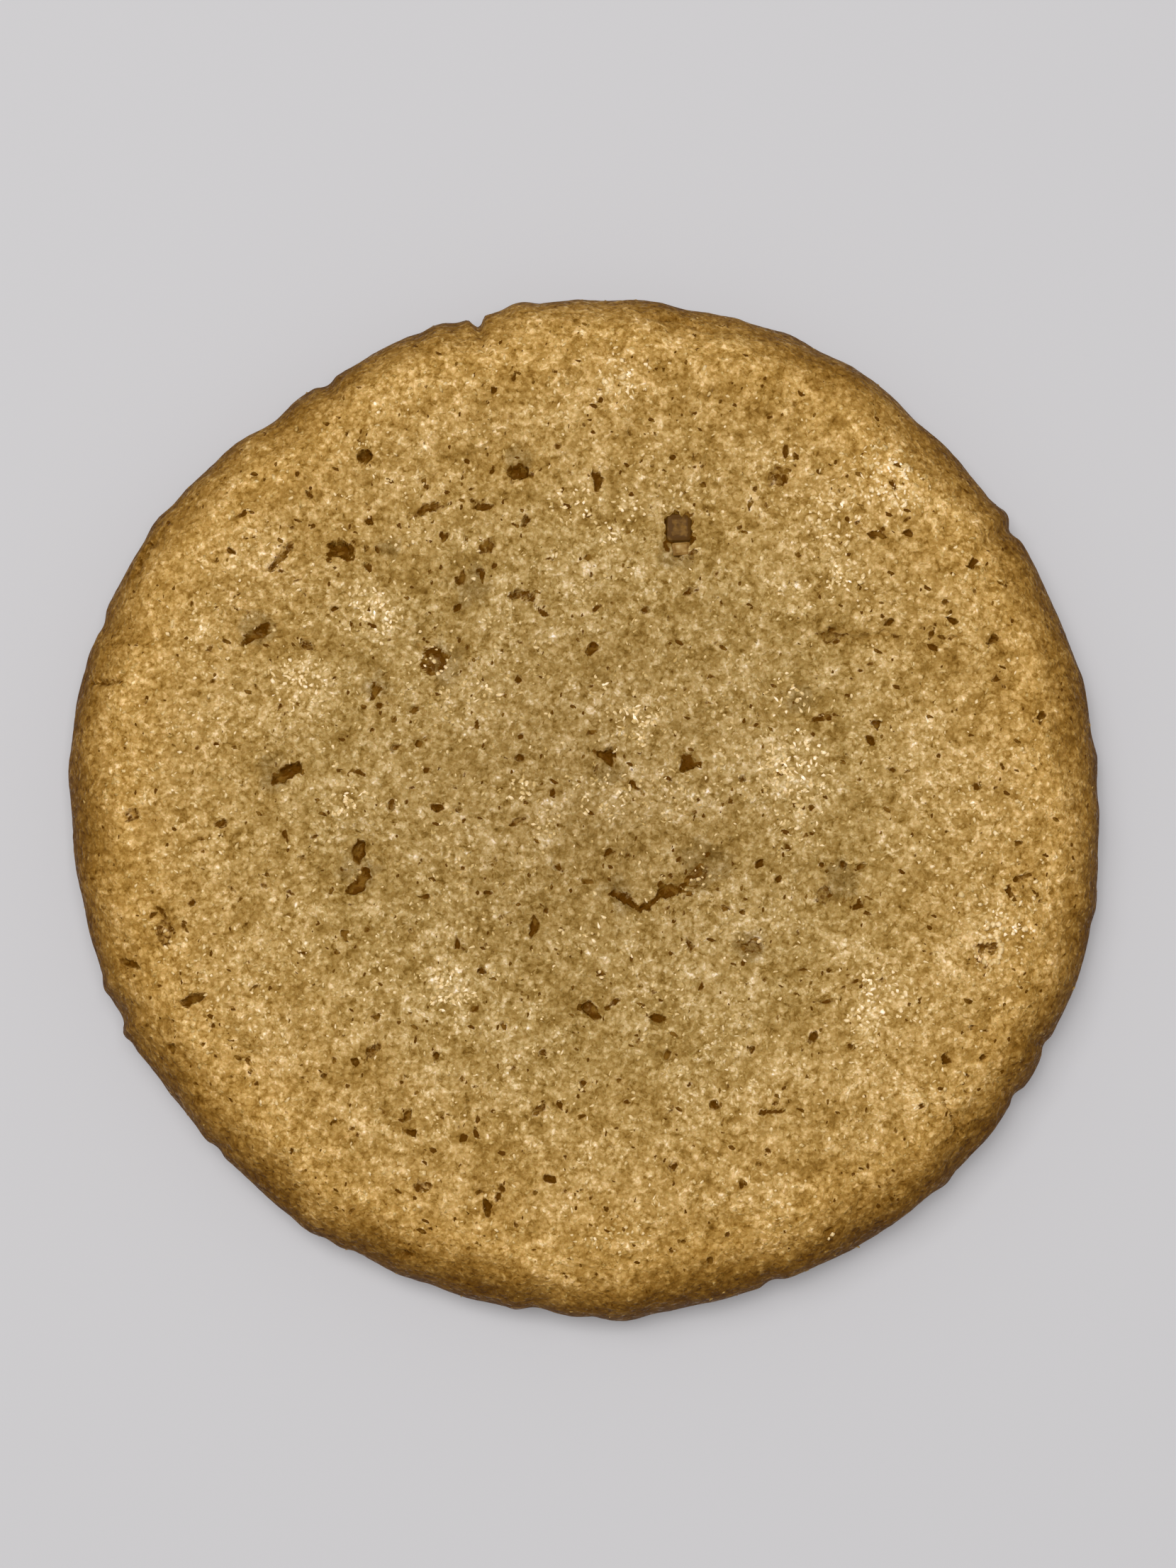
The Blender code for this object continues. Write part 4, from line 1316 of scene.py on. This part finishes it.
def scatter(name, places, turns, sizes, jitter, lot, dice):
    """One mesh of many grains of twenty small facets, each with its own size, turn, place and
    lot, with its corners moved a little."""
    bpy.ops.mesh.primitive_ico_sphere_add(subdivisions=1, radius=GRAIN_RADIUS)
    model = bpy.context.active_object
    shape = read_points(model.data)
    faces = np.array([tuple(polygon.vertices) for polygon in model.data.polygons])
    bpy.data.objects.remove(model, do_unlink=True)
    count = len(places)
    copies = shape[None] * (1 + jitter * dice.uniform(-1, 1, (count, *shape.shape)))
    copies = np.einsum("nij,nvj->nvi", turns, copies * sizes[:, None]) + places[:, None]
    corners = faces[None] + (np.arange(count) * len(shape))[:, None, None]
    mesh = bpy.data.meshes.new(name)
    mesh.vertices.add(count * len(shape))
    mesh.vertices.foreach_set("co", copies.astype(np.float32).ravel())
    mesh.loops.add(corners.size)
    mesh.loops.foreach_set("vertex_index", corners.astype(np.int32).ravel())
    mesh.polygons.add(corners.size // 3)
    mesh.polygons.foreach_set("loop_start", np.arange(0, corners.size, 3, dtype=np.int32))
    mesh.update(calc_edges=True)
    mesh.validate()
    write_attribute(mesh, "lot", np.repeat(lot, len(shape)))
    grains = bpy.data.objects.new(name, mesh)
    bpy.context.scene.collection.objects.link(grains)
    return grains


def make_sugar(crust, skin, dice):
    """The fine grains, strewn thicker over raised crust and where sugar glints."""
    points = read_points(crust.data) / MM
    thick = nearness_to_any(*as_read(points), GLINT_SPOTS)
    open_skin = (points[:, 2] > BELLY_HEIGHT) * (skin["hollow"] < GRAIN_HOLLOW)
    open_skin = open_skin * (1 - RIM_BARENESS * smooth_step(*BARE_RIM, skin["rim"]))
    raised = smooth_step(*SUGARED_TONES, skin["tone"])
    weight = open_skin * (GRAINS_ANYWHERE + raised + GRAINS_IN_GLINTS * thick)
    places, normals, beside = crust_places(crust, SUGAR_GRAINS, weight, dice)
    sizes = np.stack([dice.uniform(*span, SUGAR_GRAINS) for span in SUGAR_SIZES], 1) * MM
    sizes *= (1 + GLINT_SIZE * thick[beside])[:, None]
    places -= normals * (sizes[:, 2] * SUGAR_SINK)[:, None]
    turns = lying_turns(normals, dice)
    # grains darken towards the rim with its brown, and with the painted shade that the rim's share
    # carries
    browned_and_shaded = RIM_GRAIN_BROWN * smooth_step(*BARE_RIM, skin["rim"][beside])
    # grains in the glint spots are painted paler, a painted highlight
    lot = dice.uniform(*SUGAR_LOTS, SUGAR_GRAINS) + GLINT_PALENESS * thick[beside] - browned_and_shaded
    sugar = scatter("sugar_grains", places, turns, sizes, SUGAR_JITTER, lot, dice)
    sugar.data.materials.append(sugar_material())
    return sugar


def coarse_crystal(place, size, bearing, paleness, dice):
    """One coarse crystal, a block with worn edges, a little askew, darkest along its edges."""
    bpy.ops.object.select_all(action="DESELECT")
    bpy.ops.mesh.primitive_cube_add(size=1)
    crystal = bpy.context.active_object
    enter("EDIT")
    bpy.ops.mesh.bevel(offset=CRYSTAL_BEVEL, segments=2, affect="EDGES")
    drop_selection("FACE")
    enter("OBJECT")
    top = max(crystal.data.polygons, key=lambda face: face.center.z)
    top.select = True
    enter("EDIT")
    bpy.ops.mesh.inset(thickness=CRYSTAL_FRAME)
    bpy.ops.mesh.subdivide(number_cuts=3)
    bpy.ops.mesh.select_all(action="SELECT")
    bpy.ops.transform.vertex_random(offset=CRYSTAL_WEAR, seed=int(dice.integers(1, 1000)))
    enter("OBJECT")
    points = read_points(crystal.data)
    middle = smooth_step(*CRYSTAL_MIDDLE, np.abs(points[:, :2]).max(1)) * (points[:, 2] > 0)
    write_attribute(crystal.data, "lot", paleness - CRYSTAL_EDGE_DARKNESS * (1 - middle))
    turn = Matrix.Rotation(math.radians(bearing), 4, "Z")
    tips = dice.uniform(-CRYSTAL_TIP, CRYSTAL_TIP, 2).tolist()
    tip = Euler(tips + [0]).to_matrix().to_4x4()
    stretched = Matrix.Diagonal((*size, 1))
    crystal.data.transform(Matrix.Translation(place) @ turn @ tip @ stretched)
    return crystal


def make_coarse_sugar(crust, dice):
    """The coarse crystals that lie half melted in hollows of their own."""
    points = read_points(crust.data) / MM
    x, y = as_read(points)
    on_top = points[:, 2] > BELLY_HEIGHT
    crystals = []
    near, far = CRYSTAL_BANK
    for crystal_x, crystal_y, length, width, bearing, below, paleness, _ in COARSE_SUGAR:
        away = np.hypot(x - crystal_x, y - crystal_y)
        inside = points[on_top & (away < CRYSTAL_FLOOR * width)]
        around = points[on_top & (away > near * length) & (away < far * length)]
        height = CRYSTAL_HEIGHT * width
        middle = inside.mean(0)
        top = np.median(around[:, 2]) - below
        place = Vector((middle[0], middle[1], top - height / 2)) * MM
        size = (length * MM, width * MM, height * MM)
        crystals.append(coarse_crystal(place, size, bearing, paleness, dice))
    coarse_sugar = joined("coarse_sugar", *crystals)
    coarse_sugar.data.materials.append(coarse_sugar_material())
    return coarse_sugar


def ring_grains():
    """The grains of the rings round melted spots, written as the table of pale grains is."""
    rows = []
    for x, y, radius, first, last in GRAIN_RINGS:
        count = int(math.radians(last - first) * radius / RING_SPACING)
        for bearing in np.radians(np.linspace(first, last, count)):
            out_x, out_y = radius * math.cos(bearing), radius * math.sin(bearing)
            rows.append((x + out_x, y + out_y, RING_GRAIN_LENGTH))
    return rows


def make_pale_grains(crust, dice):
    """Single grains that stayed whole, seen bright in the hollows and round the melted spots."""
    rows = np.array(list(PALE_GRAINS) + ring_grains())
    rows[:, :2] += dice.normal(0, PALE_GRAIN_SHIFT, (len(rows), 2))
    points = read_points(crust.data)
    x, y = as_read(points / MM)
    under = points[:, 2] <= BELLY_HEIGHT * MM
    nearest = [
        int(np.argmin(np.hypot(x - row_x, y - row_y) + 1e6 * under)) for row_x, row_y, _ in rows
    ]
    lengths = PALE_GRAIN_SHARE * rows[:, 2] * MM
    widths = lengths * dice.uniform(*PALE_GRAIN_WIDTHS, len(rows))
    sizes = np.stack((lengths, widths, PALE_GRAIN_HEIGHT * lengths), 1)
    turns = lying_turns(read_normals(crust.data)[nearest], dice)
    lot = dice.uniform(*PALE_GRAIN_LOTS, len(rows))
    grains = scatter("pale_grains", points[nearest], turns, sizes, PALE_GRAIN_JITTER, lot, dice)
    grains.data.materials.append(bpy.data.materials["fine_sugar"])
    return grains


# ---- Floor, light and camera ----
def make_floor():
    bpy.ops.object.select_all(action="DESELECT")
    bpy.ops.mesh.primitive_plane_add(size=FLOOR_SIZE, location=(0, 0, FLOOR_GAP * -MM))
    floor = bpy.context.active_object
    floor.name = "floor"
    material, _, shader = new_material("pale_floor")
    shader.inputs["Base Color"].default_value = (0.62, 0.61, 0.625, 1.0)
    shader.inputs["Roughness"].default_value = 0.7
    floor.data.materials.append(material)


def make_lamps():
    """Square soft lamps, shining at the cookie."""
    for name, size, power, direction, distance in LAMPS:
        lamp = bpy.data.lights.new(name, "AREA")
        lamp.size = size
        lamp.energy = power
        obj = bpy.data.objects.new(name, lamp)
        away = Vector(direction).normalized()
        obj.location = away * distance
        obj.rotation_euler = away.to_track_quat("Z", "Y").to_euler()
        bpy.context.scene.collection.objects.link(obj)


def make_daylight():
    world = bpy.data.worlds.new("studio")
    bpy.context.scene.world = world
    world.use_nodes = True
    background = world.node_tree.nodes["Background"]
    background.inputs["Color"].default_value = (1.0, 0.99, 0.98, 1.0)
    background.inputs["Strength"].default_value = 0.24
    bpy.context.scene.view_settings.view_transform = "Standard"


def make_camera():
    camera = bpy.data.cameras.new("camera")
    camera.lens = CAMERA_LENS
    camera.sensor_width = CAMERA_SENSOR
    camera.clip_start = 0.01
    obj = bpy.data.objects.new("camera", camera)
    obj.location = Vector(CAMERA_PLACE) * MM
    obj.rotation_euler = (CAMERA_TILT, 0, 0)
    bpy.context.scene.collection.objects.link(obj)
    bpy.context.scene.camera = obj


dice = np.random.default_rng(SEED)
make_camera()
make_daylight()
make_lamps()
make_floor()

crust, skin = make_crust(dice)
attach(crust, "root")
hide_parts("cookie")
sugar = make_sugar(crust, skin, dice)
coarse_sugar = make_coarse_sugar(crust, dice)
pale_grains = make_pale_grains(crust, dice)
for piece in (sugar, coarse_sugar, pale_grains):
    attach(piece, "root")
